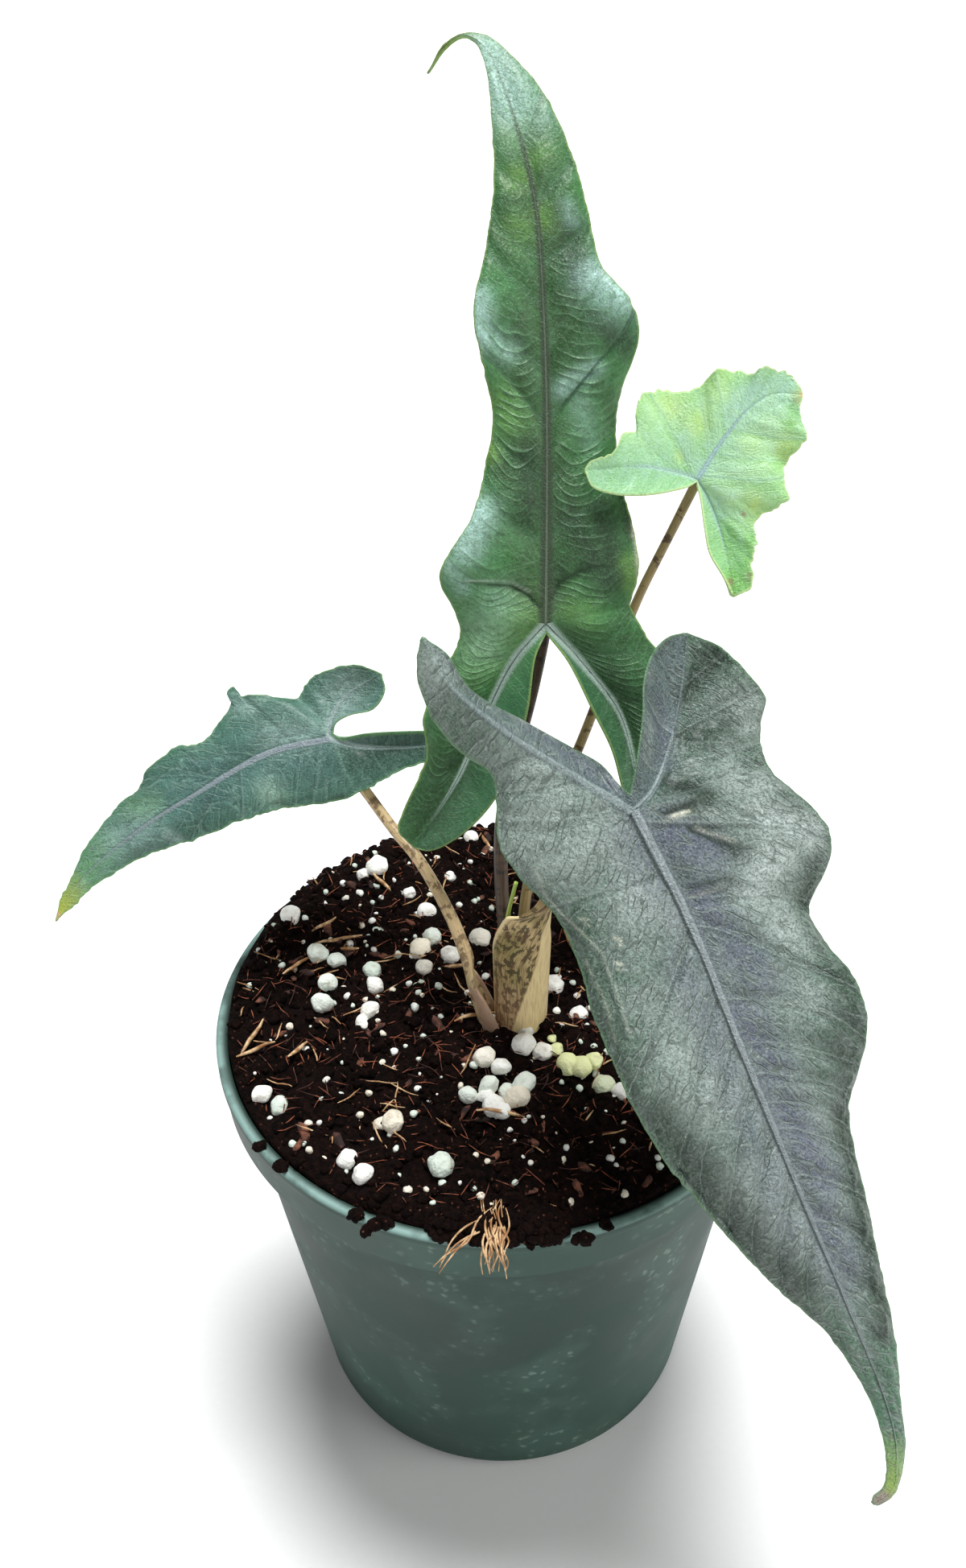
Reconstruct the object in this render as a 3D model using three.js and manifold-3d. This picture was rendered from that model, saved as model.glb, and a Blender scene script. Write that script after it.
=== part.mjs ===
// A young alocasia in a round plastic nursery pot: four arrow-shaped leaves on
// thin stalks that rise from one crown, a new shoot, and a heaped potting mix
// with perlite. Millimetres, +Z up. The origin is the centre of the pot's base,
// on the table, and the viewer stands at -Y.
import * as THREE from "three";
import { mergeVertices } from "three/addons/utils/BufferGeometryUtils.js";
import Module from "manifold-3d";

const wasm = await Module();
wasm.setup();

// Dimensions.
// Pot: a 6 inch standard nursery pot.
const POT_RADIUS = 76;
const POT_HEIGHT = 134;
const POT_FOOT_RADIUS = 51.5;
const POT_CORNER = 4.5;
const POT_WALL = 1.4;
const POT_TAPER_RADIUS = 70;
const COLLAR_HEIGHT = 14;
const COLLAR_FLARE = 2.5;
const LIP_WIDTH = 3.2;
const LIP_HEIGHT = 3.4;
const DRAIN_COUNT = 6;
const DRAIN_RADIUS = 4.5;
const DRAIN_CIRCLE = 38;

// Clearance between pieces that rest against each other.
const GAP = 0.35;

// Potting mix.
const SOIL_EDGE_RISE = 1.2;
const SOIL_MOUND = 6.5;
const SOIL_BACK_RISE = 6;
const SOIL_BUMP = 0.9;
const SMALL_GRAINS = 26;

// Crown: the rhizome's flat top, under the mix, carries every stalk.
const CROWN = new THREE.Vector3(3.2, -10.2, 129);
const CROWN_RADIUS = 10;
const RHIZOME_LENGTH = 38;
const ROOT_RADIUS = 1.3;

// Blades.
const BLADE_THICKNESS = 0.8;
const RIB_DEPTH = 1.1;
const ACROSS = [0, 0.12, 0.4, 0.72, 1];

const DEGREE = Math.PI / 180;

// Colours.
const COLOURS = {
  pot: 0x3f5a4f,
  mix: 0x33201b,
  rhizome: 0x8a6a4a,
  stalkDark: 0x4a3b30,
  stalkTan: 0xa08a5c,
  stalkMottled: 0x86704f,
  shoot: 0x9fbf5a,
  leafGreen: 0x3f6b45,
  leafLime: 0xa6cf86,
  leafTeal: 0x46665c,
  leafPewter: 0x59685f,
};

// Small helpers.
// A repeatable draw between 0 and 1.
function makeDraw(seed) {
  let state = seed;
  return () => {
    state = (state * 1664525 + 1013904223) % 4294967296;
    return state / 4294967296;
  };
}

function smooth(low, high, value) {
  const t = Math.min(1, Math.max(0, (value - low) / (high - low)));
  return t * t * (3 - 2 * t);
}

function vector([x, y, z]) {
  return new THREE.Vector3(x, y, z);
}

// A closed geometry from corner positions and triangles of their indices.
function geometryFrom(positions, triangles) {
  const geometry = new THREE.BufferGeometry();
  const flat = positions.flatMap((p) => [p.x, p.y, p.z]);
  geometry.setAttribute("position", new THREE.Float32BufferAttribute(flat, 3));
  geometry.setIndex(triangles.flat());
  return geometry;
}

function toSolid(geometry) {
  const bare = geometry.clone();
  bare.deleteAttribute("normal");
  bare.deleteAttribute("uv");
  const merged = mergeVertices(bare, 1e-4);
  const index = merged.index.array;
  const kept = [];
  for (let i = 0; i < index.length; i += 3) {
    const [a, b, c] = [index[i], index[i + 1], index[i + 2]];
    if (a !== b && b !== c && c !== a) {
      kept.push(a, b, c);
    }
  }
  return new wasm.Manifold(
    new wasm.Mesh({
      numProp: 3,
      vertProperties: new Float32Array(merged.attributes.position.array),
      triVerts: new Uint32Array(kept),
    }),
  );
}

function toGeometry(solid) {
  const mesh = solid.getMesh();
  const geometry = new THREE.BufferGeometry();
  geometry.setAttribute(
    "position",
    new THREE.Float32BufferAttribute(mesh.vertProperties, 3),
  );
  geometry.setIndex(Array.from(mesh.triVerts));
  return geometry;
}

function namedMesh(name, geometry, colour, roughness) {
  const material = new THREE.MeshStandardMaterial({
    color: colour,
    roughness,
    metalness: 0,
    flatShading: true,
  });
  const mesh = new THREE.Mesh(geometry, material);
  mesh.name = name;
  return mesh;
}

// A body through rings of equal length. Each ring runs along an outer side and
// back along an inner side, so a strip between the two closes both ends.
function loft(rings) {
  const size = rings[0].length;
  const triangles = [];
  for (let r = 0; r + 1 < rings.length; r++) {
    for (let k = 0; k < size; k++) {
      const a = r * size + k;
      const b = r * size + ((k + 1) % size);
      triangles.push([a, b, b + size], [a, b + size, a + size]);
    }
  }
  const last = (rings.length - 1) * size;
  for (let k = 0; k + 1 < size / 2; k++) {
    const [a, b] = [k, k + 1];
    const [c, d] = [size - 2 - k, size - 1 - k];
    triangles.push([a, c, b], [a, d, c]);
    triangles.push([last + a, last + b, last + c], [last + a, last + c, last + d]);
  }
  return geometryFrom(rings.flat(), triangles);
}

// Pot.
// The quarter round between the floor and the wall, inset by a wall thickness.
function cornerArc(inset) {
  const points = [];
  for (let step = 0; step <= 3; step++) {
    const angle = (step / 3) * 90 * DEGREE;
    const reach = POT_CORNER - inset;
    points.push([
      POT_FOOT_RADIUS + reach * Math.sin(angle),
      POT_CORNER - reach * Math.cos(angle),
    ]);
  }
  return points;
}

function makePot() {
  const collar = POT_HEIGHT - COLLAR_HEIGHT;
  const lip = POT_HEIGHT - LIP_HEIGHT;
  const inner = POT_RADIUS - LIP_WIDTH;
  const outline = [
    [0, 0],
    ...cornerArc(0),
    [POT_TAPER_RADIUS, collar - COLLAR_FLARE],
    [POT_RADIUS - 1.6, collar - 0.4],
    [POT_RADIUS - 1.1, collar + 0.4],
    [POT_RADIUS - 0.4, lip],
    [POT_RADIUS, lip + 0.5],
    [POT_RADIUS, POT_HEIGHT - 0.7],
    [POT_RADIUS - 0.7, POT_HEIGHT],
    [inner + 0.7, POT_HEIGHT],
    [inner, POT_HEIGHT - 0.7],
    [inner, collar + 1],
    [POT_TAPER_RADIUS - POT_WALL, collar - COLLAR_FLARE],
    ...cornerArc(POT_WALL).reverse(),
    [0, POT_WALL],
  ];
  const profile = outline.map(([r, z]) => new THREE.Vector2(r, z));
  // A lathe turns about Y: its axis is laid along Z.
  const shell = new THREE.LatheGeometry(profile, 64).rotateX(Math.PI / 2);
  let solid = toSolid(shell);
  for (let k = 0; k < DRAIN_COUNT; k++) {
    const turn = (k / DRAIN_COUNT) * 2 * Math.PI;
    const drill = new THREE.CylinderGeometry(DRAIN_RADIUS, DRAIN_RADIUS, 8, 16);
    drill.rotateX(Math.PI / 2);
    drill.translate(DRAIN_CIRCLE * Math.cos(turn), DRAIN_CIRCLE * Math.sin(turn), 0);
    solid = solid.subtract(toSolid(drill));
  }
  return toGeometry(solid);
}

// Mix.
// Height of the mix: a mound in the middle, higher towards the back left.
function soilTop(x, y) {
  const inner = POT_RADIUS - LIP_WIDTH;
  const r = Math.hypot(x, y) / inner;
  const back = (0.9 * y - 0.45 * x) / inner;
  const bumps =
    Math.sin(0.31 * x + 1.2) * Math.sin(0.27 * y + 0.4) +
    0.6 * Math.sin(0.62 * x - 0.45 * y) +
    0.4 * Math.sin(0.9 * y + 0.5 * x + 2);
  return (
    POT_HEIGHT +
    SOIL_EDGE_RISE +
    SOIL_MOUND * (1 - r * r) +
    SOIL_BACK_RISE * smooth(0.1, 1, back) * (1 - 0.5 * smooth(0.93, 1, r)) +
    SOIL_BUMP * bumps * (1 - 0.5 * r)
  );
}

// The mix below its surface follows the inside of the pot.
function makeSoilBody() {
  const sides = 48;
  const inner = POT_RADIUS - LIP_WIDTH - GAP;
  const rings = [
    [inner * 0.12, null],
    [inner * 0.3, null],
    [inner * 0.48, null],
    [inner * 0.64, null],
    [inner * 0.78, null],
    [inner * 0.9, null],
    [inner * 0.97, null],
    [inner, null],
    [inner, POT_HEIGHT - COLLAR_HEIGHT + 2],
    [POT_TAPER_RADIUS - POT_WALL - 2 * GAP, POT_HEIGHT - COLLAR_HEIGHT - COLLAR_FLARE],
    [POT_FOOT_RADIUS + POT_CORNER - POT_WALL - 2 * GAP, POT_CORNER],
    [POT_FOOT_RADIUS, POT_WALL + GAP],
  ];
  const positions = [new THREE.Vector3(0, 0, soilTop(0, 0))];
  for (const [radius, level] of rings) {
    for (let k = 0; k < sides; k++) {
      const turn = (k / sides) * 2 * Math.PI;
      const x = radius * Math.cos(turn);
      const y = radius * Math.sin(turn);
      positions.push(new THREE.Vector3(x, y, level ?? soilTop(x, y)));
    }
  }
  const floor = positions.push(new THREE.Vector3(0, 0, POT_WALL + GAP)) - 1;
  const triangles = [];
  const at = (ring, k) => 1 + ring * sides + (k % sides);
  for (let k = 0; k < sides; k++) {
    triangles.push([0, at(0, k), at(0, k + 1)]);
    for (let ring = 0; ring + 1 < rings.length; ring++) {
      triangles.push([at(ring, k), at(ring + 1, k), at(ring + 1, k + 1)]);
      triangles.push([at(ring, k), at(ring + 1, k + 1), at(ring, k + 1)]);
    }
    triangles.push([floor, at(rings.length - 1, k + 1), at(rings.length - 1, k)]);
  }
  return toSolid(geometryFrom(positions, triangles));
}

// The larger perlite grains that show: place and radius.
const LARGE_GRAINS = [
  [-58, 30, 3.2],
  [-34, 48, 3.4],
  [-38, 46, 2.2],
  [-20, 32, 2.8],
  [-22, 25, 3.0],
  [-25, 18, 3.2],
  [-18, 16, 3.0],
  [-12, 22, 3.2],
  [-49, 14, 3.0],
  [-44, 12, 2.8],
  [-46, 4, 2.8],
  [-47, -3, 3.0],
  [-34, 8, 3.0],
  [-33, 2, 2.6],
  [15, 1, 2.8],
  [21, -9, 2.6],
  [7, -15, 2.6],
  [6, -21, 3.2],
  [11, -22, 2.8],
  [-4, -25, 3.0],
  [0, -28, 2.6],
  [16, -27, 3.6],
  [21, -28, 3.4],
  [25, -33, 3.0],
  [30, -34, 2.4],
  [-3, -34, 2.8],
  [2, -34, 2.8],
  [6, -33, 2.8],
  [4, -38, 3.4],
  [-2, -39, 3.4],
  [-8, -36, 2.6],
  [-56, -34, 2.8],
  [-61, -30, 2.6],
  [-27, -43, 3.2],
  [-38, -52, 2.6],
  [-34, -57, 2.8],
  [-15, -56, 3.6],
];

// One grain: a lumpy low-sided pebble, sunk by a third.
function makeGrain(x, y, radius, draw) {
  const pebble =
    radius > 2 ? new THREE.IcosahedronGeometry(radius, 0) : new THREE.OctahedronGeometry(radius, 0);
  pebble.rotateX(draw() * 6);
  pebble.rotateZ(draw() * 6);
  pebble.scale(0.85 + 0.4 * draw(), 0.85 + 0.3 * draw(), 0.75 + 0.2 * draw());
  pebble.translate(x, y, soilTop(x, y) + 0.25 * radius);
  return toSolid(pebble);
}

// A dry fibre of coconut or root: a thin three-sided rod that lies on the mix.
function makeFibre(from, middle, to) {
  const route = new THREE.CatmullRomCurve3([from, middle, to].map(vector));
  const section = new THREE.Shape();
  section.moveTo(0.6, 0);
  section.lineTo(-0.3, 0.52);
  section.lineTo(-0.3, -0.52);
  return toSolid(
    new THREE.ExtrudeGeometry(section, { steps: 4, extrudePath: route }),
  );
}

// The clod and the fibres that hang over the lip at the front.
function makeSpill() {
  const top = POT_HEIGHT + GAP;
  const clods = [
    [-3, -71, 8, 4.2],
    [9, -71.5, 6, 3.8],
    [-15, -71, 5, 3.6],
  ];
  let spill = null;
  for (const [x, y, width, depth] of clods) {
    const clod = new THREE.IcosahedronGeometry(1, 1);
    clod.scale(width, 5.5, depth);
    clod.translate(x, y, top + 0.5);
    const solid = toSolid(clod);
    spill = spill ? spill.add(solid) : solid;
  }
  // Nothing of it dips below the lip's top where the lip is.
  const reach = 40;
  const below = new THREE.BoxGeometry(reach, reach, reach);
  below.translate(-2, -(POT_RADIUS - LIP_WIDTH - GAP) - reach / 2 + 3.4, top - reach / 2);
  spill = spill.subtract(toSolid(below));
  const fibres = [
    [[-10, -66, 137.5], [-9, -74, 137.6], [-19, -80, 135.6]],
    [[-5, -66, 138], [-4, -75, 138.4], [-5, -83, 134.5]],
    [[1, -66, 138], [1, -75, 137.6], [-3, -82, 135.4]],
    [[4, -64, 138], [6, -72, 138.2], [3, -81, 136.6]],
  ];
  for (const [from, middle, to] of fibres) {
    spill = spill.add(makeFibre(from, middle, to));
  }
  return spill;
}

function makeSoil(cutters) {
  const draw = makeDraw(7);
  let solid = makeSoilBody();
  for (const [x, y, radius] of LARGE_GRAINS) {
    solid = solid.add(makeGrain(x, y, radius, draw));
  }
  for (let k = 0; k < SMALL_GRAINS; k++) {
    const turn = draw() * 2 * Math.PI;
    const reach = 66 * Math.sqrt(draw());
    const radius = 1 + 0.9 * draw();
    const x = reach * Math.cos(turn);
    const y = reach * Math.sin(turn);
    solid = solid.add(makeGrain(x, y, radius, draw));
  }
  solid = solid.add(makeSpill());
  for (const cutter of cutters) {
    solid = solid.subtract(cutter);
  }
  return toGeometry(largestPiece(solid));
}

// Crumbs that a cut leaves loose are dropped.
function largestPiece(solid) {
  const pieces = solid.decompose();
  pieces.sort((a, b) => b.volume() - a.volume());
  return pieces[0];
}

// Rhizome and roots.
// Each root leaves the rhizome at a height, in a direction, and dives.
const ROOTS = [
  [-6, 20, 38, 62],
  [-12, 95, 34, 70],
  [-8, 160, 44, 58],
  [-16, 215, 36, 74],
  [-10, 275, 30, 66],
  [-14, 330, 42, 72],
];

function makeRhizome(grow) {
  const outline = [
    [0, -RHIZOME_LENGTH - grow],
    [4 + grow, -RHIZOME_LENGTH + 2],
    [7 + grow, -26],
    [8.2 + grow, -17],
    [7.6 + grow, -14],
    [9 + grow, -8],
    [8.4 + grow, -6],
    [CROWN_RADIUS + grow, -1.5],
    [CROWN_RADIUS + grow - 0.8, grow],
    [0, grow],
  ];
  const profile = outline.map(([r, z]) => new THREE.Vector2(r, z));
  const stem = new THREE.LatheGeometry(profile, 16).rotateX(Math.PI / 2);
  stem.translate(CROWN.x, CROWN.y, CROWN.z);
  let solid = toSolid(stem);
  for (const [level, heading, spread, drop] of ROOTS) {
    const out = new THREE.Vector3(Math.cos(heading * DEGREE), Math.sin(heading * DEGREE), 0);
    const start = CROWN.clone().add(new THREE.Vector3(0, 0, level));
    const place = (share, fall) =>
      start.clone().addScaledVector(out, share).add(new THREE.Vector3(0, 0, fall));
    const route = new THREE.CatmullRomCurve3([
      place(4, 0),
      place(spread * 0.5, -drop * 0.25),
      place(spread * 0.85, -drop * 0.62),
      place(spread, -drop),
    ]);
    solid = solid.add(makeRoot(route, grow));
  }
  return solid;
}

function makeRoot(route, grow) {
  const steps = 7;
  const frames = route.computeFrenetFrames(steps, false);
  const rings = [];
  for (let s = 0; s <= steps; s++) {
    const centre = route.getPointAt(s / steps);
    if (s === steps) {
      centre.addScaledVector(frames.tangents[s], grow);
    }
    const radius = ROOT_RADIUS * (1 - (0.45 * s) / steps) + grow;
    rings.push(roundRing(centre, frames.binormals[s], frames.normals[s], radius, radius, 3));
  }
  return toSolid(loft(rings));
}

// Stalks.
// Ring of a round or oval stalk: half of it faces out, the rest runs back.
function roundRing(centre, side, out, halfWidth, halfDepth, half) {
  const ring = [];
  for (let k = 0; k < 2 * half; k++) {
    const angle = ((k + 0.5) / half) * Math.PI - Math.PI;
    ring.push(
      centre
        .clone()
        .addScaledVector(side, halfWidth * Math.cos(angle + Math.PI) * -1)
        .addScaledVector(out, -halfDepth * Math.sin(angle)),
    );
  }
  return ring;
}

// Ring of a clasping base: an arc about the crown, thick at its keel and thin
// at both margins. Angles are from the front, turning to the right.
function claspRing(centre, radius, thick, keel, from, to, half) {
  const outer = [];
  const inner = [];
  for (let k = 0; k < half; k++) {
    const angle = from + ((to - from) * k) / (half - 1);
    const reach = angle < keel ? keel - from : to - keel;
    const share = Math.min(1, Math.abs(angle - keel) / Math.max(reach, 1e-6));
    const depth = Math.max(0.75, thick * Math.sqrt(1 - 0.8 * share));
    const out = new THREE.Vector3(Math.sin(angle * DEGREE), -Math.cos(angle * DEGREE), 0);
    outer.push(centre.clone().addScaledVector(out, radius));
    inner.push(centre.clone().addScaledVector(out, radius - depth));
  }
  return [...outer, ...inner.reverse()];
}

function mixRings(a, b, share) {
  return a.map((point, k) => point.clone().lerp(b[k], share));
}

// Rings of a bare stalk along a route. The radius runs from start to end, with
// a slight swelling under the blade. `out` is the side that faces away from
// the crown.
function stalkRings(route, steps, startRadius, endRadius, out, half, grow) {
  const rings = [];
  for (let s = 0; s <= steps; s++) {
    const share = s / steps;
    const centre = route.getPointAt(share);
    const tangent = route.getTangentAt(share);
    const facing = out.clone().addScaledVector(tangent, -out.dot(tangent)).normalize();
    const side = new THREE.Vector3().crossVectors(tangent, facing).normalize();
    const swell = 1 + 0.12 * smooth(0.9, 1, share);
    const radius = (startRadius + (endRadius - startRadius) * share ** 0.7) * swell + grow;
    rings.push(roundRing(centre, side, facing, radius, radius, half));
  }
  return rings;
}

function curveThrough(points) {
  return new THREE.CatmullRomCurve3(points.map(vector), false, "centripetal");
}

// Closes a route where the stalk meets its blade, just under the rib. A stalk
// that arrives aslant needs more of its radius there than one that is square.
function routeTo(leaf, radius, points) {
  const joint = vector(leaf.joint);
  const { face } = leafFrame(leaf);
  const arrival = joint.clone().sub(vector(points.at(-1))).normalize();
  const slant = Math.sqrt(1 - arrival.dot(face) ** 2);
  const depth = BLADE_THICKNESS / 2 + RIB_DEPTH + 0.3 + radius * slant;
  return curveThrough([...points, joint.addScaledVector(face, -depth).toArray()]);
}

const STALK_HALF = 4;
const CLASP_HALF = 7;
const STALK_FOOT = CROWN.z + 0.3;

// Rear stalk, of the tall leaf: round, dark.
function stalkTall(grow) {
  const route = routeTo(LEAF_TALL, 1.7, [
    [3.4, -8.4, STALK_FOOT - grow],
    [3.2, -7.8, 142],
    [2.4, -5, 162],
    [1.3, 0.5, 180],
    [1.9, 8, 195],
    [5.2, 16, 207],
    [9.4, 24, 219],
    [12, 28.5, 229],
  ]);
  return stalkRings(route, 20, 2.1, 1.5, new THREE.Vector3(0, 1, 0), STALK_HALF, grow);
}

// Stalk of the small pale leaf, behind the tall leaf.
function stalkSmall(grow) {
  const route = routeTo(LEAF_SMALL, 1.3, [
    [6.8, -5, STALK_FOOT - grow],
    [6.6, -4, 145],
    [6.8, -1, 168],
    [8.8, 3.5, 180],
    [11.6, 8, 187.5],
    [16.6, 14, 198],
    [22.4, 21, 208.5],
    [29.8, 31, 223.5],
    [37.4, 39.5, 239.5],
    [44.6, 46, 252],
  ]);
  return stalkRings(route, 22, 1.6, 1.1, new THREE.Vector3(0, 1, 0), STALK_HALF, grow);
}

// Stalk of the low left leaf: its base clasps the crown from the left.
function stalkLow(grow) {
  const rings = [];
  const foot = new THREE.Vector3(-2.5, -10.8, STALK_FOOT - grow);
  const clasp = (z, radius, from, to) => {
    const centre = new THREE.Vector3(foot.x - 0.11 * (z - 142) * (z > 142), foot.y, z);
    return claspRing(
      centre,
      radius + grow,
      2.1 + 2 * grow,
      -95,
      from - grow * 14,
      to + grow * 14,
      CLASP_HALF,
    );
  };
  rings.push(clasp(foot.z, 3.1, -185, 15));
  rings.push(clasp(142, 3.1, -185, 15));
  rings.push(clasp(149, 2.9, -180, 5));
  rings.push(clasp(155, 2.5, -172, -12));
  const route = routeTo(LEAF_LOW, 1.5, [
    [-6.2, -7.6, 161],
    [-9, -3.6, 167],
    [-13.6, 2.5, 173],
    [-20.1, 11, 179.5],
    [-26, 18, 183],
    [-34, 26.5, 190],
    [-38.6, 30.5, 194.6],
  ]);
  const out = new THREE.Vector3(-0.9, -0.4, 0.2);
  rings.push(...stalkRings(route, 13, 1.75, 1.35, out, CLASP_HALF, grow));
  return rings;
}

// Stalk of the front leaf. Its base is a hood that wraps the front of the
// crown: the left margin ends in a round top, the right one in a lower point.
function stalkFront(grow) {
  const centre = new THREE.Vector3(5.8, -9.5, 0);
  const radius = 6.9;
  const hoodFoot = 163;
  const hoodTop = 184;
  const levels = [STALK_FOOT - grow, 142, 153, 163, 169, 174, 178, 181.2, 183.4];
  const rings = levels.map((z) => {
    const rise = Math.max(0, (z - hoodFoot) / (hoodTop - hoodFoot));
    const keel = 12 + 46 * smooth(140, hoodTop, z);
    const left = keel - 12 - (keel - 12 + 84) * Math.sqrt(1 - rise * rise);
    const right = Math.min(84, 84 - 2.2 * Math.max(0, z - 168));
    const lean = 0.035 * Math.max(0, z - 142);
    const middle = new THREE.Vector3(centre.x + lean * 0.3, centre.y, z);
    const reach = radius + lean * 0.6 + grow;
    const spread = grow * 7;
    return claspRing(
      middle,
      reach,
      1.9 + 2 * grow,
      keel,
      left - spread,
      Math.max(right, keel + 12) + spread,
      CLASP_HALF,
    );
  });
  const route = routeTo(LEAF_FRONT, 1.8, [
    [13.4, -12.6, 187.5],
    [15.4, -13.6, 193],
    [19.4, -16.4, 201],
    [25.4, -22.8, 214.5],
  ]);
  const out = new THREE.Vector3(0.7, -0.7, -0.2);
  rings.push(...stalkRings(route, 10, 1.9, 1.6, out, CLASP_HALF, grow));
  return rings;
}

// New leaf, still rolled to a thin spike behind the hood.
function shootRings(grow) {
  const route = curveThrough([
    [4.8, -12.2, STALK_FOOT - grow],
    [4, -12, 150],
    [1.8, -9.4, 168],
    [2.6, -8.8, 176],
    [4.8, -8.2, 187],
  ]);
  return stalkRings(route, 9, 0.95, 0.45, new THREE.Vector3(0, -1, 0), 3, grow);
}

// Blades.
// Each blade is measured flat: u runs from the stalk to the tip, v to one
// side, and lift stands off the blade's plane. `joint` is the place of the
// stalk's end, `along` the direction to the tip, `face` the upper side, and
// `bends` gives how far the blade has turned away from its face at each u.
// Each side has its outer margin in two stretches, tip to shoulder and
// shoulder to lobe end, the lobe's own main vein, and its inner margin.
const LEAF_TALL = {
  joint: [13.4, 28, 239],
  along: [0, 0.5, 0.866],
  face: [0, -0.866, 0.5],
  bends: [[-80, 0], [60, 0], [150, 25]],
  midrib: [
    [138, 26, -6], [142.4, 21.5, -2.2], [143.2, 16.5, 0], [138.5, 11, 0],
    [127.5, 7, 0], [112, 3, 0], [97.5, 0.5, 0], [57, -1, 0], [20, -0.5, 0], [0, 0, 0],
  ],
  notch: [-2.5, 0, 0],
  rows: 26,
  lobeRows: 9,
  bulge: 1.3,
  sides: [
    {
      margin: [
        [138, 26, -6], [141.6, 21, -2], [141.8, 17.5, 0], [136.5, 12.5, 0], [105, 10.5, 0],
        [88, 13, 1], [73, 16, 4], [50, 12, -1], [38, 14, 0], [26, 17.5, 4],
        [12.5, 25.5, 5], [3, 22, -1],
      ],
      lobe: [
        [3, 22, -1], [-2.5, 21, -2], [-14, 27, 1.5], [-22, 30.5, 3], [-32, 30, 0],
        [-42, 34.5, 1], [-50, 37.5, 1], [-55, 34, -1],
      ],
      vein: [[0, 0, 0], [-9, 8, -2], [-22, 15, -3], [-38, 22.5, -3], [-55, 34, -1]],
      inner: [
        [-2.5, 0, 0], [-8, 2.8, 3], [-20, 4.8, 5], [-32, 8, 3], [-44, 14, 1],
        [-53, 23, -1], [-56, 30, -1], [-55, 34, -1],
      ],
    },
    {
      margin: [
        [138, 26, -6], [143.4, 22, -2], [144.6, 17, 0], [143, 10.5, 0], [135, 3, 0],
        [124.5, -3.5, 0], [111, -8.5, 0], [97, -12, 0], [84, -14.5, 2], [75, -21, 5],
        [67, -23, 4], [53, -18.5, -2], [38, -18, -1], [24, -21, 3], [13, -22.5, 4],
        [4, -20.5, 0],
      ],
      lobe: [
        [4, -20.5, 0], [-3.5, -24.5, 0], [-9, -28.5, 1], [-17.5, -32, 3],
        [-27.5, -31.5, 2], [-38, -29, 0], [-46, -27, -0.5], [-50, -23, -1],
      ],
      vein: [[0, 0, 0], [-9.5, -8.5, -2], [-21.5, -17.5, -3], [-33, -21, -2], [-50, -23, -1]],
      inner: [
        [-2.5, 0, 0], [-9, -5, 3], [-21.5, -11, 5], [-31, -15.5, 3], [-42, -18.5, 0],
        [-48, -20.5, -1], [-50, -23, -1],
      ],
    },
  ],
};

const LEAF_FRONT = {
  joint: [30.3, -30, 226.1],
  along: [0.4, -0.66, -0.64],
  face: [0.28, -0.57, 0.77],
  bends: [[-80, 12], [0, 0], [170, 24]],
  midrib: [
    [167.5, -4.5, 0], [167, 1, 0], [160, 4.5, 0], [150, 5.5, 0], [120, 3.5, 0],
    [95, 1.5, 0], [60, 0.5, 0], [27, 1, 0], [0, 0, 0],
  ],
  notch: [-4, 0.5, 1],
  rows: 28,
  lobeRows: 10,
  bulge: 1.6,
  sides: [
    {
      margin: [
        [167.5, -4.5, 0], [167.8, 2.5, 0], [160, 7, 0], [145.5, 10, 0], [130.5, 13, 0],
        [115, 14.5, 0], [102.5, 17, -1], [90, 19.5, -3], [79.5, 22.5, -3], [73.5, 26.5, -1],
        [65, 30, 3], [55, 31.8, 3.5], [43, 30.5, -1], [36, 31.5, -3], [27, 39, 2],
        [21, 40.5, 4], [13, 38.5, 3], [5, 36, 0],
      ],
      lobe: [
        [5, 36, 0], [-1, 37, -2], [-7.5, 39.5, -1], [-12, 41.5, 2], [-18, 40, 3],
        [-27, 37, 1], [-33, 31, 0],
      ],
      vein: [[0, 0, 0], [-2.5, 7, -2], [-9, 15.5, -4], [-19, 24, -4], [-33, 31, 0]],
      inner: [
        [-4, 0.5, 1], [-8.5, 3.5, 3], [-18.5, 9, 6], [-26, 13.5, 5], [-31, 19, 3],
        [-33.5, 26, 1], [-33, 31, 0],
      ],
    },
    {
      margin: [
        [167.5, -4.5, 0], [165.6, 0, 0], [158.5, 2, 0], [149.5, 3, -1], [137, 1.5, -2],
        [125.5, -1.5, -4], [114.5, -7, -6], [102.5, -12.5, -7], [89.5, -17.5, -7],
        [74.5, -23, -6], [60.5, -26, -5], [46, -26.5, -5], [36.5, -26, -6],
        [24.5, -23.5, -8], [14, -23.5, -9], [3, -27.5, -9],
      ],
      lobe: [
        [3, -27.5, -9], [-6, -29, -8], [-15, -25.5, -7], [-20.5, -24, -8], [-27.5, -28, -9],
        [-38, -31.5, -8], [-48, -31.5, -4], [-53, -28.5, -2],
      ],
      vein: [[0, 0, 0], [-13, -9.5, -1], [-27.5, -20.5, 0], [-41.5, -28, 0], [-53, -28.5, -2]],
      inner: [
        [-4, 0.5, 1], [-7.5, 0, -1], [-13, -0.5, -4], [-18, -3.5, -6], [-28, -11.5, -7],
        [-39, -22, -4], [-48, -25, -1.5], [-53, -28.5, -2],
      ],
    },
  ],
};

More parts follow.
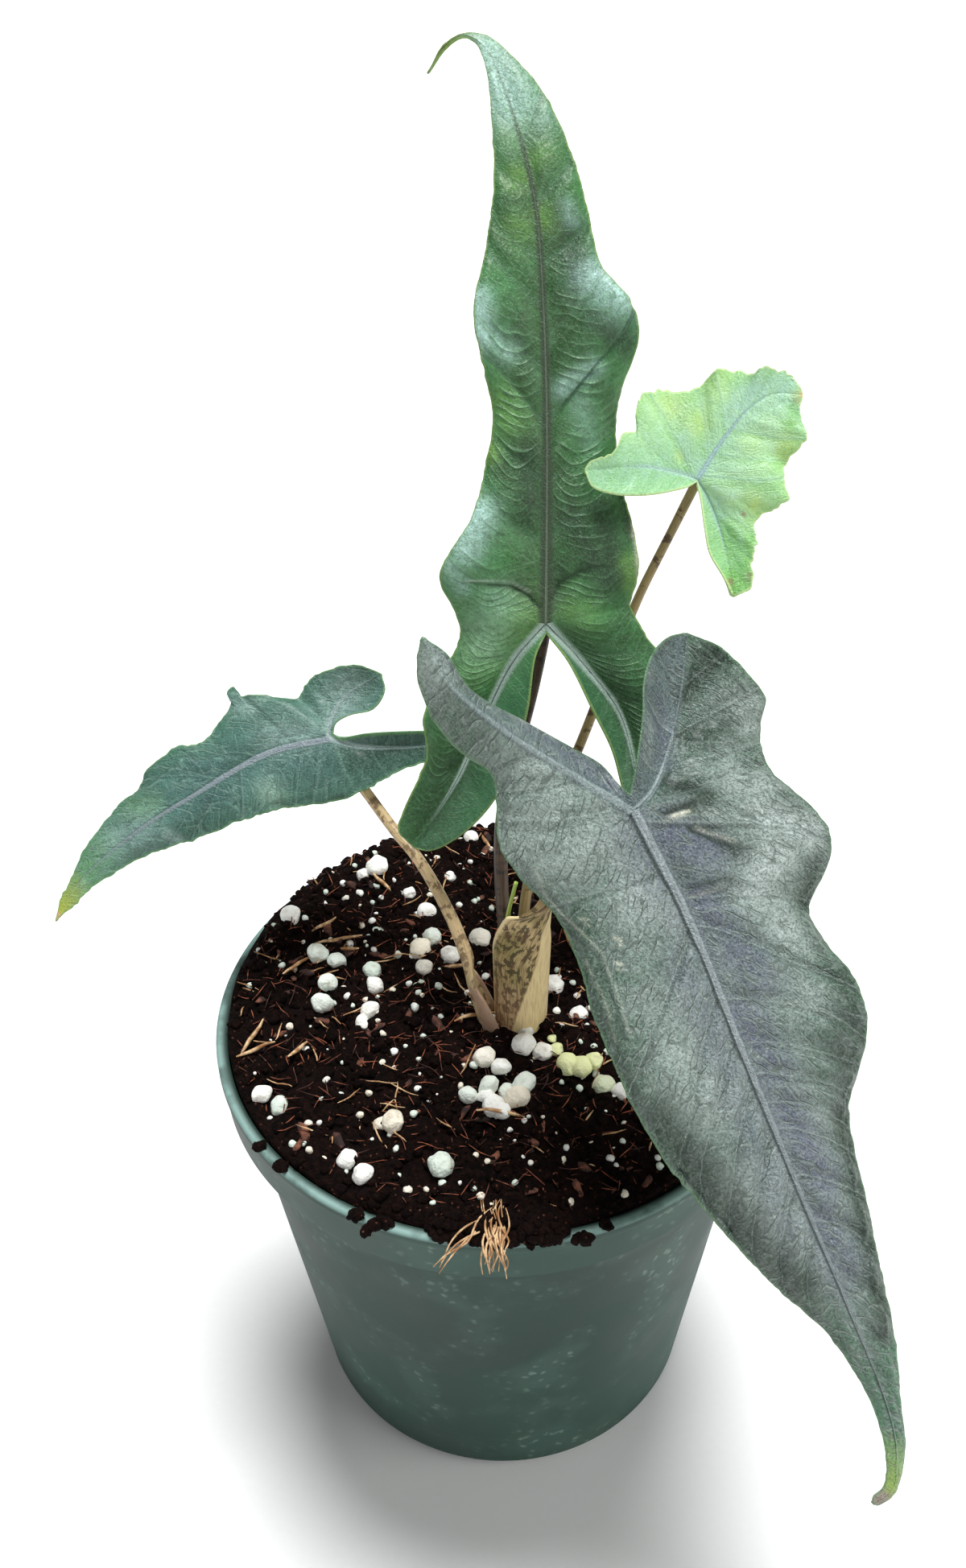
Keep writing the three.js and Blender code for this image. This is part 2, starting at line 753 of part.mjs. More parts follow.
const LEAF_LOW = {
  joint: [-42.6, 33, 201.7],
  along: [-0.85, -0.31, -0.42],
  face: [-0.2, -0.56, 0.81],
  bends: [[-80, 0], [0, -4], [90, 8]],
  midrib: [[87, 0, 0], [76, -5, 0], [55, -7.5, 0], [39, -7, 0], [15, -5.5, 0], [0, 0, 0]],
  notch: [-1.5, -1, 0.5],
  rows: 20,
  lobeRows: 7,
  bulge: 1,
  sides: [
    {
      margin: [
        [87, 0, 0], [80, 0.5, -0.5], [73, -1, -1], [61, -1, -2], [51, 0, -3], [41.5, 3, -3],
        [31, 5, -3], [21.5, 8, -3], [12.5, 12, -4], [4, 15.5, -3.5],
      ],
      lobe: [[4, 15.5, -3.5], [-5, 16.5, -3], [-14, 17.5, -2], [-23, 21, -1], [-30, 19.5, -0.5]],
      vein: [[0, 0, 0], [-4.5, 5, -1], [-12.5, 10.5, -2], [-20.5, 15.5, -1.5], [-30, 19.5, -0.5]],
      inner: [
        [-1.5, -1, 0.5], [-2.5, 1.5, 1], [-9, 5, 2], [-17.5, 10, 2], [-25.5, 15, 1],
        [-30, 19.5, -0.5],
      ],
    },
    {
      margin: [
        [87, 0, 0], [83.5, -4.5, 0], [78, -8, 0], [68, -14, 0], [56, -18, -1.5],
        [50, -18.5, -1.5], [44, -21.5, 0.5], [36, -21, 2], [29.5, -18.5, 1],
        [24, -21, -0.5], [18, -23.5, 0.5], [12, -22.5, 2], [5, -17, 0.5],
      ],
      lobe: [
        [5, -17, 0.5], [1.5, -15.5, -1], [-4, -18, 0], [-10.5, -16, 2], [-17, -13, 2],
        [-20.5, -8, 1],
      ],
      vein: [[0, 0, 0], [-3, -5, -1], [-9, -8.5, -1], [-20.5, -8, 1]],
      inner: [
        [-1.5, -1, 0.5], [-4, -2.4, 2], [-8, -1.5, 3], [-14, 0, 2], [-19, -3, 1.5],
        [-20.5, -8, 1],
      ],
    },
  ],
};

const LEAF_SMALL = {
  joint: [51.3, 50, 265.7],
  along: [0.78, 0.32, 0.54],
  face: [-0.12, -0.77, 0.63],
  bends: [[-80, 0], [100, 0]],
  midrib: [[32, -1, 0], [26.5, 4, 0], [20, 5, 0], [13.5, 4, 0], [6, 2, 0], [0, 0, 0]],
  notch: [-0.5, -0.5, 0],
  rows: 22,
  lobeRows: 12,
  bulge: 0.7,
  sides: [
    {
      margin: [
        [32, -1, 0], [33, 2, 0], [31, 8, 1], [28.5, 10.5, 2], [26.5, 10.5, 1],
        [23, 14.5, 0], [20.5, 17.5, 2], [16.5, 17, 0.5], [12, 17.5, 0],
      ],
      lobe: [
        [12, 17.5, 0], [8, 21, -1], [2.5, 24.5, 1], [-1.5, 23, 2], [-5, 20, 0],
        [-8.5, 21, 0], [-12, 19.5, 1], [-16, 19.5, 1], [-20, 17.5, 0],
      ],
      vein: [[0, 0, 0], [-3, 4.5, -1], [-8.5, 10, -1], [-20, 17.5, 0]],
      inner: [
        [-0.5, -0.5, 0], [-2.5, 0.5, 1], [-6, 2.5, 2], [-11.5, 5.5, 2], [-17, 10.5, 1],
        [-20, 17.5, 0],
      ],
    },
    {
      margin: [
        [32, -1, 0], [29.5, -3, 0], [27.5, -5.5, 0.5], [26, -9.5, 2], [22.5, -10.5, 1],
        [18.5, -10.5, -1], [15, -15, 1], [13, -18.5, 2], [10, -18, 1], [6.5, -16.5, -1],
      ],
      lobe: [
        [6.5, -16.5, -1], [3.5, -17.5, -1], [0, -22, 0], [-3.5, -24.5, 0], [-5, -27, 1],
        [-9, -28.5, 1], [-11.5, -27.5, 0],
      ],
      vein: [[0, 0, 0], [-0.5, -4, -1], [-2.5, -10.5, -2], [-6, -18, -2], [-11.5, -27.5, 0]],
      inner: [
        [-0.5, -0.5, 0], [-3, -5, 1], [-6.5, -10.5, 2], [-9.5, -16, 2], [-10.5, -22, 1],
        [-11.5, -27.5, 0],
      ],
    },
  ],
};

function leafFrame(leaf) {
  const along = vector(leaf.along).normalize();
  const face = vector(leaf.face);
  face.addScaledVector(along, -face.dot(along)).normalize();
  const side = new THREE.Vector3().crossVectors(face, along);
  return { along, face, side };
}

function bendAt(leaf, u) {
  const { bends } = leaf;
  let k = 0;
  while (k + 2 < bends.length && u > bends[k + 1][0]) {
    k++;
  }
  const [[u0, a0], [u1, a1]] = [bends[k], bends[k + 1]];
  const share = Math.min(1, Math.max(0, (u - u0) / (u1 - u0)));
  return (a0 + (a1 - a0) * share) * DEGREE;
}

// Maps a flat place (u, v, lift) to space, along the blade's bent plane.
function bladeMap(leaf) {
  const { along, face, side } = leafFrame(leaf);
  const joint = vector(leaf.joint);
  const step = 1;
  const direction = (u) => {
    const bend = bendAt(leaf, u);
    return along.clone().multiplyScalar(Math.cos(bend)).addScaledVector(face, -Math.sin(bend));
  };
  return ({ x: u, y: v, z: lift }) => {
    const place = joint.clone();
    const count = Math.max(1, Math.ceil(Math.abs(u) / step));
    for (let k = 0; k < count; k++) {
      place.addScaledVector(direction(((k + 0.5) / count) * u), u / count);
    }
    const bend = bendAt(leaf, u);
    const up = along.clone().multiplyScalar(Math.sin(bend)).addScaledVector(face, Math.cos(bend));
    return place.addScaledVector(side, v).addScaledVector(up, lift);
  };
}

function spaced(points, count) {
  return curveThrough(points).getSpacedPoints(count);
}

// One side of a blade as rows of flat points from the spine to the margin,
// and the triangles between them.
function patch(spineRow, marginRow, across, bulge, sheet) {
  const rows = spineRow.map((spine, r) => {
    const margin = marginRow[r];
    const width = Math.hypot(margin.x - spine.x, margin.y - spine.y);
    return across.map((t) => {
      const place = spine.clone().lerp(margin, t);
      place.z = spine.z + (margin.z - spine.z) * t ** 1.6;
      place.z += bulge * Math.min(1, width / 18) * Math.sin(Math.PI * t);
      return sheet.add(place, 1 - t);
    });
  });
  const faces = [];
  for (let r = 0; r + 1 < rows.length; r++) {
    for (let c = 0; c + 1 < across.length; c++) {
      const [a, b] = [rows[r][c], rows[r][c + 1]];
      const [d, e] = [rows[r + 1][c], rows[r + 1][c + 1]];
      faces.push([a, b, e], [a, e, d]);
    }
  }
  sheet.addPatch(faces);
}

// A flat sheet that welds equal points and turns each patch face up.
function newSheet() {
  const points = [];
  const ribs = [];
  const triangles = [];
  const seen = new Map();
  return {
    points,
    ribs,
    triangles,
    add(place, rib) {
      const key = `${Math.round(place.x * 100) + 0} ${Math.round(place.y * 100) + 0}`;
      if (!seen.has(key)) {
        seen.set(key, points.length);
        points.push(place);
        ribs.push(rib);
      }
      return seen.get(key);
    },
    addPatch(faces) {
      const whole = faces.filter(([a, b, c]) => a !== b && b !== c && c !== a);
      let turn = 0;
      for (const [p, q, r] of whole.map((face) => face.map((k) => points[k]))) {
        turn += (q.x - p.x) * (r.y - p.y) - (q.y - p.y) * (r.x - p.x);
      }
      triangles.push(...whole.map(([a, b, c]) => (turn > 0 ? [a, b, c] : [a, c, b])));
    },
  };
}

function makeBlade(leaf) {
  const sheet = newSheet();
  const { rows, lobeRows, bulge } = leaf;
  const midrib = spaced(leaf.midrib, rows);
  for (const side of leaf.sides) {
    patch(midrib, spaced(side.margin, rows), ACROSS, bulge, sheet);
    const vein = spaced(side.vein, lobeRows);
    patch(vein, spaced(side.lobe, lobeRows), ACROSS, bulge, sheet);
    patch(vein, spaced(side.inner, lobeRows), [0, 0.2, 0.6, 1], 0, sheet);
  }
  return thicken(sheet, bladeMap(leaf));
}

// Gives the sheet its two faces and its edge. The underside carries the rib.
function thicken(sheet, map) {
  const { points, ribs, triangles } = sheet;
  const middle = points.map(map);
  const normals = points.map(() => new THREE.Vector3());
  for (const [a, b, c] of triangles) {
    const normal = new THREE.Vector3().crossVectors(
      middle[b].clone().sub(middle[a]),
      middle[c].clone().sub(middle[a]),
    );
    for (const corner of [a, b, c]) {
      normals[corner].add(normal);
    }
  }
  normals.forEach((normal) => normal.normalize());
  const half = BLADE_THICKNESS / 2;
  const top = middle.map((p, k) => p.clone().addScaledVector(normals[k], half));
  const under = middle.map((p, k) => {
    const rib = RIB_DEPTH * smooth(0.75, 1, ribs[k]);
    return p.clone().addScaledVector(normals[k], -half - rib);
  });
  const count = points.length;
  const faces = [];
  const edges = new Map();
  for (const [a, b, c] of triangles) {
    faces.push([a, b, c], [a + count, c + count, b + count]);
    for (const [from, to] of [[a, b], [b, c], [c, a]]) {
      edges.set(`${from} ${to}`, [from, to]);
    }
  }
  for (const [from, to] of edges.values()) {
    if (!edges.has(`${to} ${from}`)) {
      faces.push([from, from + count, to + count], [from, to + count, to]);
    }
  }
  return geometryFrom([...top, ...under], faces);
}

// Assembly.
const STALKS = [
  ["stalk_tall", stalkTall, COLOURS.stalkDark],
  ["stalk_small", stalkSmall, COLOURS.stalkTan],
  ["stalk_low", stalkLow, COLOURS.stalkTan],
  ["stalk_front", stalkFront, COLOURS.stalkMottled],
  ["new_shoot", shootRings, COLOURS.shoot],
];

const BLADES = [
  ["blade_tall", LEAF_TALL, COLOURS.leafGreen],
  ["blade_small", LEAF_SMALL, COLOURS.leafLime],
  ["blade_low", LEAF_LOW, COLOURS.leafTeal],
  ["blade_front", LEAF_FRONT, COLOURS.leafPewter],
];

const plant = new THREE.Group();
plant.name = "potted_alocasia";

plant.add(namedMesh("pot", makePot(), COLOURS.pot, 0.6));

const sockets = STALKS.map(([, rings]) => toSolid(loft(rings(GAP))));
sockets.push(makeRhizome(GAP));
plant.add(namedMesh("potting_mix", makeSoil(sockets), COLOURS.mix, 0.95));

plant.add(namedMesh("rhizome", toGeometry(makeRhizome(0)), COLOURS.rhizome, 0.9));

for (const [name, rings, colour] of STALKS) {
  plant.add(namedMesh(name, loft(rings(0)), colour, 0.6));
}

for (const [name, leaf, colour] of BLADES) {
  plant.add(namedMesh(name, makeBlade(leaf), colour, 0.45));
}

export default plant;
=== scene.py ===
# Looks of a young alocasia in a plastic nursery pot: four arrow-shaped leaves, their stalks, a
# new shoot and a heaped potting mix with perlite. The frame's millimetre dimensions are
# repeated here where a finer piece keeps the form of its solid.
import math

import bmesh
import bpy
import numpy as np
from mathutils import Matrix, Vector


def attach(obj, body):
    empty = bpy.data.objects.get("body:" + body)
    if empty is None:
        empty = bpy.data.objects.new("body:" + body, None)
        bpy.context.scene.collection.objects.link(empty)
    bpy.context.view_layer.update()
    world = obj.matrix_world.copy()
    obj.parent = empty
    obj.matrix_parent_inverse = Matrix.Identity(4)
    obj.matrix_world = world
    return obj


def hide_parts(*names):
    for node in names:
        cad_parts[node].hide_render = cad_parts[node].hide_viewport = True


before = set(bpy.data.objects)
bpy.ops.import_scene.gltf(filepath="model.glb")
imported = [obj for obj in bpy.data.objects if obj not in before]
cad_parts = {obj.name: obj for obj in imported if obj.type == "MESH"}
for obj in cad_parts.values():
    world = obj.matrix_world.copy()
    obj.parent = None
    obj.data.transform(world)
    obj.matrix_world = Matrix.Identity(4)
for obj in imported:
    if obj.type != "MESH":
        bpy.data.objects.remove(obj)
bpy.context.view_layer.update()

MM = 0.001

# Camera: its place in metres, its tilt and its roll. The image is 1200 by 1948 pixels.
CAMERA_PLACE = Vector((-0.0028, -0.3057, 0.4504))
CAMERA_DOWN = math.radians(38)
CAMERA_ROLL = math.radians(-1.27)
IMAGE_HEIGHT = 1948
FOCAL_PIXELS = 2000
SENSOR = 36

# Floor, half its width in millimetres.
FLOOR_REACH = 4000

# Pot, in millimetres.
POT_RADIUS = 76
POT_HEIGHT = 134
POT_FOOT_RADIUS = 51.5
POT_CORNER = 4.5
POT_WALL = 1.4
POT_TAPER_RADIUS = 70
POT_SIDES = 192
COLLAR_HEIGHT = 14
COLLAR_FLARE = 2.5
COLLAR_FOOT = POT_HEIGHT - COLLAR_HEIGHT
LIP_WIDTH = 3.2
LIP_HEIGHT = 3.4
LIP_INSIDE = POT_RADIUS - LIP_WIDTH
DRAIN_COUNT = 6
DRAIN_RADIUS = 4.5
DRAIN_CIRCLE = 38
DRAIN_SIDES = 32
GAP = 0.35

# Mix, in millimetres, and the fineness of its top.
SOIL_EDGE_RISE = 1.2
SOIL_MOUND = 6.5
SOIL_BACK_RISE = 6
SOIL_BUMP = 0.9
SOIL_RINGS = 84
SOIL_SIDES = 330

# Crown and stalks, in millimetres.
CROWN = np.array((3.2, -10.2, 129))
CROWN_RADIUS = 10
RHIZOME_LENGTH = 38
ROOT_RADIUS = 1.3
STALK_FOOT = CROWN[2] + 0.3

# Blades, in millimetres.
BLADE_THICKNESS = 0.6
RIB_DEPTH = 1.1


# Camera and light.
def make_camera():
    back = Vector((0, -math.cos(CAMERA_DOWN), math.sin(CAMERA_DOWN)))
    level = Vector((1, 0, 0))
    rise = back.cross(level)
    right = level * math.cos(CAMERA_ROLL) + rise * math.sin(CAMERA_ROLL)
    up = rise * math.cos(CAMERA_ROLL) - level * math.sin(CAMERA_ROLL)
    data = bpy.data.cameras.new("camera")
    data.sensor_width = SENSOR
    data.lens = SENSOR * FOCAL_PIXELS / IMAGE_HEIGHT
    camera = bpy.data.objects.new("camera", data)
    turn = Matrix((right, up, back)).transposed().to_4x4()
    camera.matrix_world = Matrix.Translation(CAMERA_PLACE) @ turn
    bpy.context.scene.collection.objects.link(camera)
    bpy.context.scene.camera = camera


def make_softbox(name, heading, power, spread, tint):
    """A broad lamp far away, on the side that the heading points to."""
    data = bpy.data.lights.new(name, "SUN")
    data.energy = power
    data.angle = math.radians(spread)
    data.color = tint
    lamp = bpy.data.objects.new(name, data)
    lamp.rotation_euler = Vector(heading).to_track_quat("Z", "Y").to_euler()
    bpy.context.scene.collection.objects.link(lamp)


def make_studio():
    scene = bpy.context.scene
    scene.view_settings.view_transform = "Standard"
    world = bpy.data.worlds.new("studio")
    scene.world = world
    world.use_nodes = True
    sky = world.node_tree.nodes["Background"]
    sky.inputs["Color"].default_value = colour("f2f5f8")
    sky.inputs["Strength"].default_value = 0.14
    make_softbox("top_softbox", (0.04, 0.2, 0.97), 3.9, 24, (0.98, 0.99, 1))
    make_softbox("right_softbox", (0.85, -0.32, 0.42), 1.2, 40, (1, 0.99, 0.97))
    make_softbox("front_softbox", (-0.1, -0.85, 0.5), 0.45, 40, (1, 1, 1))
    corners = [
        (FLOOR_REACH * x, FLOOR_REACH * y, 0) for x, y in ((-1, -1), (1, -1), (1, 1), (-1, 1))
    ]
    floor = mesh_object("floor", corners, [(0, 1, 2, 3)], floor_material())


# Mesh helpers.
def mesh_object(name, corners, faces, material=None, edges=()):
    """A smooth-shaded mesh from corners in millimetres."""
    mesh = bpy.data.meshes.new(name)
    faces = faces.tolist() if isinstance(faces, np.ndarray) else faces
    mesh.from_pydata((np.asarray(corners) * MM).tolist(), edges, faces)
    mesh.update()
    mesh.polygons.foreach_set("use_smooth", [True] * len(mesh.polygons))
    if material:
        mesh.materials.append(material)
    piece = bpy.data.objects.new(name, mesh)
    bpy.context.scene.collection.objects.link(piece)
    return piece


def set_values(piece, name, values, domain="CORNER"):
    """Stores a number or three numbers for each face corner or each point."""
    kind, field = ("FLOAT", "value") if values.ndim == 1 else ("FLOAT_VECTOR", "vector")
    attribute = piece.data.attributes.new(name, kind, domain)
    attribute.data.foreach_set(field, values.astype(np.float32).ravel())


def dress(piece, slot, *nodes):
    """The piece stands for the frame's nodes and rides on the one body."""
    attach(piece, "root")
    if nodes:
        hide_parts(*nodes)


def settle(piece):
    """Applies a piece's modifiers to its mesh."""
    shaped = piece.evaluated_get(bpy.context.evaluated_depsgraph_get())
    mesh = bpy.data.meshes.new_from_object(shaped)
    piece.modifiers.clear()
    piece.data = mesh


def ring_faces(first, rings, size):
    """Faces between closed rings of corners that follow each other."""
    ring, corner = np.meshgrid(np.arange(rings - 1), np.arange(size), indexing="ij")
    a = first + (ring * size + corner).ravel()
    b = first + (ring * size + (corner + 1) % size).ravel()
    return np.stack([a, b, b + size, a + size], 1)


def unit(direction):
    direction = np.asarray(direction, float)
    return direction / np.linalg.norm(direction)


def smooth(low, high, value):
    t = np.clip((value - low) / (high - low), 0, 1)
    return t * t * (3 - 2 * t)


def bell(distance, reach):
    """From 1 at no distance down to nearly 0 at twice the reach."""
    return np.exp(-((distance / reach) ** 2))


def lattice_draw(i, j, seed):
    """A repeatable draw between 0 and 1 at each corner of a lattice."""
    wave = np.sin(i * 127.1 + j * 311.7 + seed * 74.7) * 43758.5453
    return wave - np.floor(wave)


def soft_noise(x, y, seed):
    """Smooth noise between -1 and 1, with one swing to a unit."""
    i, j = np.floor(x), np.floor(y)
    fx, fy = smooth(0, 1, x - i), smooth(0, 1, y - j)
    near = lattice_draw(i, j, seed) * (1 - fx) + lattice_draw(i + 1, j, seed) * fx
    far = lattice_draw(i, j + 1, seed) * (1 - fx) + lattice_draw(i + 1, j + 1, seed) * fx
    return 2 * (near * (1 - fy) + far * fy) - 1


def cell_gap(x, y, seed):
    """How far a place is from the line between its two nearest of scattered cell centres."""
    i, j = np.floor(x), np.floor(y)
    nearest = np.full(np.shape(x), 9.0)
    second = np.full(np.shape(x), 9.0)
    for a in (-1, 0, 1):
        for b in (-1, 0, 1):
            cx = i + a + 0.15 + 0.7 * lattice_draw(i + a, j + b, seed)
            cy = j + b + 0.15 + 0.7 * lattice_draw(i + a, j + b, seed + 5)
            reach = np.hypot(cx - x, cy - y)
            second = np.where(reach < nearest, nearest, np.minimum(second, reach))
            nearest = np.minimum(nearest, reach)
    return second - nearest


def through(keys, steps):
    """A curve through points, or through rings of points, with `steps` places to a span."""
    keys = np.asarray(keys, float)
    keys = np.concatenate([[2 * keys[0] - keys[1]], keys, [2 * keys[-1] - keys[-2]]])
    moves = [(b - a).reshape(-1, 3).mean(axis=0) for a, b in zip(keys, keys[1:])]
    spans = [max(np.linalg.norm(move), 1e-9) ** 0.5 for move in moves]
    t = (np.arange(steps) / steps).reshape(-1, *[1] * (keys.ndim - 1))
    places = []
    for k in range(len(keys) - 3):
        a, b, c, d = keys[k : k + 4]
        before, here, after = spans[k : k + 3]
        leave = here * ((b - a) / before - (c - a) / (before + here) + (c - b) / here)
        arrive = here * ((c - b) / here - (d - b) / (here + after) + (d - c) / after)
        square = 3 * (c - b) - 2 * leave - arrive
        cube = 2 * (b - c) + leave + arrive
        places.append(b + leave * t + square * t**2 + cube * t**3)
    return np.concatenate([*places, keys[-2:-1]])


def travelled(places):
    """Length of the way up to each place."""
    steps = np.linalg.norm(np.diff(places, axis=0), axis=1)
    return np.concatenate([[0], np.cumsum(steps)])


def spaced(keys, count):
    """Evenly spaced places on the curve through the keys."""
    places = through(keys, 24)
    length = travelled(places)
    wanted = np.linspace(0, length[-1], count + 1)
    return np.stack([np.interp(wanted, length, places[:, k]) for k in range(3)], axis=1)


# Node helpers.
def colour(code):
    """A linear colour from an sRGB hex value."""
    parts = [int(code[k : k + 2], 16) / 255 for k in (0, 2, 4)]
    linear = [c / 12.92 if c <= 0.04045 else ((c + 0.055) / 1.055) ** 2.4 for c in parts]
    return (*linear, 1)


def feed(tree, sockets, values):
    """Links or sets each named input."""
    for name, value in values.items():
        if isinstance(value, bpy.types.NodeSocket):
            tree.links.new(value, sockets[name])
        else:
            sockets[name].default_value = value


def add(tree, kind, inputs=None, out=0, **settings):
    """Adds a node, sets it, feeds its inputs with values or links, and gives what `out` picks."""
    node = tree.nodes.new(kind)
    for name, value in settings.items():
        setattr(node, name, value)
    feed(tree, node.inputs, inputs or {})
    return node.outputs[out]


# Settings that several nodes share, and what picks all outputs of a node.
BLEND = dict(data_type="RGBA", out=2)
SOFT = dict(interpolation_type="SMOOTHSTEP")
EVERY = slice(None)


def span(low, high, start=0, end=1):
    """Inputs that turn what runs from low to high into what runs from start to end."""
    return {"From Min": low, "From Max": high, "To Min": start, "To Max": end}


def new_material(name, attribute=None):
    """A material, its node tree, and the coordinates of its patterns: the piece's own metres, or
    an attribute."""
    material = bpy.data.materials.new(name)
    material.use_nodes = True
    tree = material.node_tree
    if attribute:
        place = add(tree, "ShaderNodeAttribute", out="Vector", attribute_name=attribute)
    else:
        place = add(tree, "ShaderNodeTexCoord", out="Object")
    return material, tree, place


def surface(tree, values):
    """Feeds the shader of a material."""
    feed(tree, tree.nodes["Principled BSDF"].inputs, values)


def layered(tree, ground, layers):
    """Lays tints over a ground, each by its own amount."""
    ground = colour(ground) if isinstance(ground, str) else ground
    for amount, tint in layers:
        tint = colour(tint) if isinstance(tint, str) else tint
        ground = add(tree, "ShaderNodeMix", {0: amount, 6: ground, 7: tint}, **BLEND)
    return ground


def product(tree, *factors):
    """Several amounts multiplied."""
    result = factors[0]
    for factor in factors[1:]:
        result = add(tree, "ShaderNodeMath", {0: result, 1: factor}, operation="MULTIPLY")
    return result


def mottle(tree, place, size, detail, ends, roughness=0.5, **style):
    """Irregular patches of a size; the ends say where they begin and how strong they get."""
    noise = add(
        tree, "ShaderNodeTexNoise",
        {"Vector": place, "Scale": 1 / size, "Detail": detail, "Roughness": roughness},
    )
    return add(tree, "ShaderNodeMapRange", {"Value": noise, **ends}, **style)


def spots(tree, place, size, full, none, show):
    """Round spots about scattered centres: full up to one share of a cell, gone from another."""
    centres = add(tree, "ShaderNodeTexVoronoi", {"Vector": place, "Scale": 1 / size})
    return add(tree, "ShaderNodeMapRange", {"Value": centres, **span(full, none, show, 0)})


def cell_lines(tree, place, size, width):
    """Lines between irregular cells; the width is a share of a cell."""
    edge = add(
        tree, "ShaderNodeTexVoronoi", {"Vector": place, "Scale": 1 / size},
        feature="DISTANCE_TO_EDGE",
    )
    ends = span(width * 0.15, width, 1, 0)
    return add(tree, "ShaderNodeMapRange", {"Value": edge, **ends}, **SOFT)


# Blades.
# Each blade is measured flat, in millimetres: u runs from the stalk to the tip, v to one side,
# and the third number stands off the blade's plane. `joint` is the stalk's end, `along` the
# direction to the tip, `face` the upper side, and `bends` how far the blade has turned away
# from its face at each u. A side has its outer margin in two stretches, from the midrib's tip to
# the shoulder and on to the lobe's end, its lobe's own main vein from the joint to that end, and
# its inner margin to the same end. A point that two of these lines share is written once. A
# lateral vein is its share of the midrib, its share of the margin and its strength; a branch is
# the same on a lobe's vein. The tints and the ripples lie along short lines: both ends, how far
# each reaches and how strong it is. A fold is a rise or a dip along such a line, in millimetres.
# Of the tints, the silvery one is partly the tissue's own silvery tint and partly a painted sheen on
# the wax film. The shade is painted shade where the blade folds or turns away from the light, and in
# places a darker green of the tissue. The dark lines along the creases are painted shade, and the blade
# dips a little along them.
TALL_LEFT = {
    "margin": [
        (142, 21.2, -2), (143.2, 17.2, 0), (141.8, 14.2, 0), (136, 12, 0), (105, 10.5, 0),
        (88, 13, 1), (73, 16, 4), (50, 12, -1), (38, 14, 0), (26, 17.5, 4), (12.5, 25.5, 5),
        (3, 22, -1),
    ],
    "lobe": [
        (-2.5, 21, -2), (-14, 27, 1.5), (-22, 30.5, 3), (-32, 30, 0), (-42, 34.5, 1),
        (-50, 37.5, 1), (-55, 34, -1),
    ],
    "vein": [(-9, 8, -2), (-22, 15, -3), (-38, 22.5, -3)],
    "inner": [
        (-2.5, 0, 0), (-8, 2.8, 3), (-20, 4.8, 5), (-32, 8, 3), (-44, 14, 1), (-53, 23, -1),
        (-56, 30, -1),
    ],
    "laterals": [
        (0.1, 0.06, 0.3), (0.17, 0.12, 0.4), (0.26, 0.2, 0.5), (0.36, 0.29, 0.6),
        (0.46, 0.37, 0.4), (0.53, 0.41, 0.6), (0.62, 0.52, 0.4), (0.705, 0.56, 0.9),
        (0.79, 0.7, 0.4), (0.88, 0.79, 0.5), (0.975, 0.935, 0.2),
    ],
    "branches": [(0.16, 0.2, 0.3), (0.4, 0.46, 0.6), (0.66, 0.7, 0.4)],
}
TALL_RIGHT = {
    "margin": [
        (143, 21.9, -2), (144.5, 17, 0), (143.4, 11, 0), (135, 3, 0), (124.5, -3.5, 0),
        (111, -8.5, 0), (97, -12, 0), (84, -14.5, 2), (75, -21, 5), (67, -23, 4), (53, -18.5, -2),
        (38, -18, -3), (24, -21, 2), (13, -22.5, 4), (4, -20.5, 0),
    ],
    "lobe": [
        (-3.5, -24.5, 0), (-9, -28.5, 1), (-17.5, -32, 3), (-27.5, -31.5, 2), (-38, -29, 0),
        (-46, -27, -0.5), (-50, -23, -1),
    ],
    "vein": [(-9.5, -8.5, -2), (-21.5, -17.5, -3), (-33, -21, -2)],
    "inner": [
        (-2.5, 0, 0), (-9, -5, 3), (-21.5, -11, 5), (-31, -15.5, 3), (-42, -18.5, 0),
        (-48, -20.5, -1),
    ],
    "laterals": [
        (0.1, 0.05, 0.3), (0.18, 0.13, 0.4), (0.28, 0.23, 0.6), (0.38, 0.335, 0.8),
        (0.475, 0.42, 0.9), (0.58, 0.5, 0.4), (0.7, 0.575, 1), (0.79, 0.72, 0.4),
        (0.87, 0.81, 0.4), (0.965, 0.93, 0.2),
    ],
    "branches": [(0.2, 0.22, 0.4), (0.42, 0.48, 0.9), (0.7, 0.74, 0.4)],
}
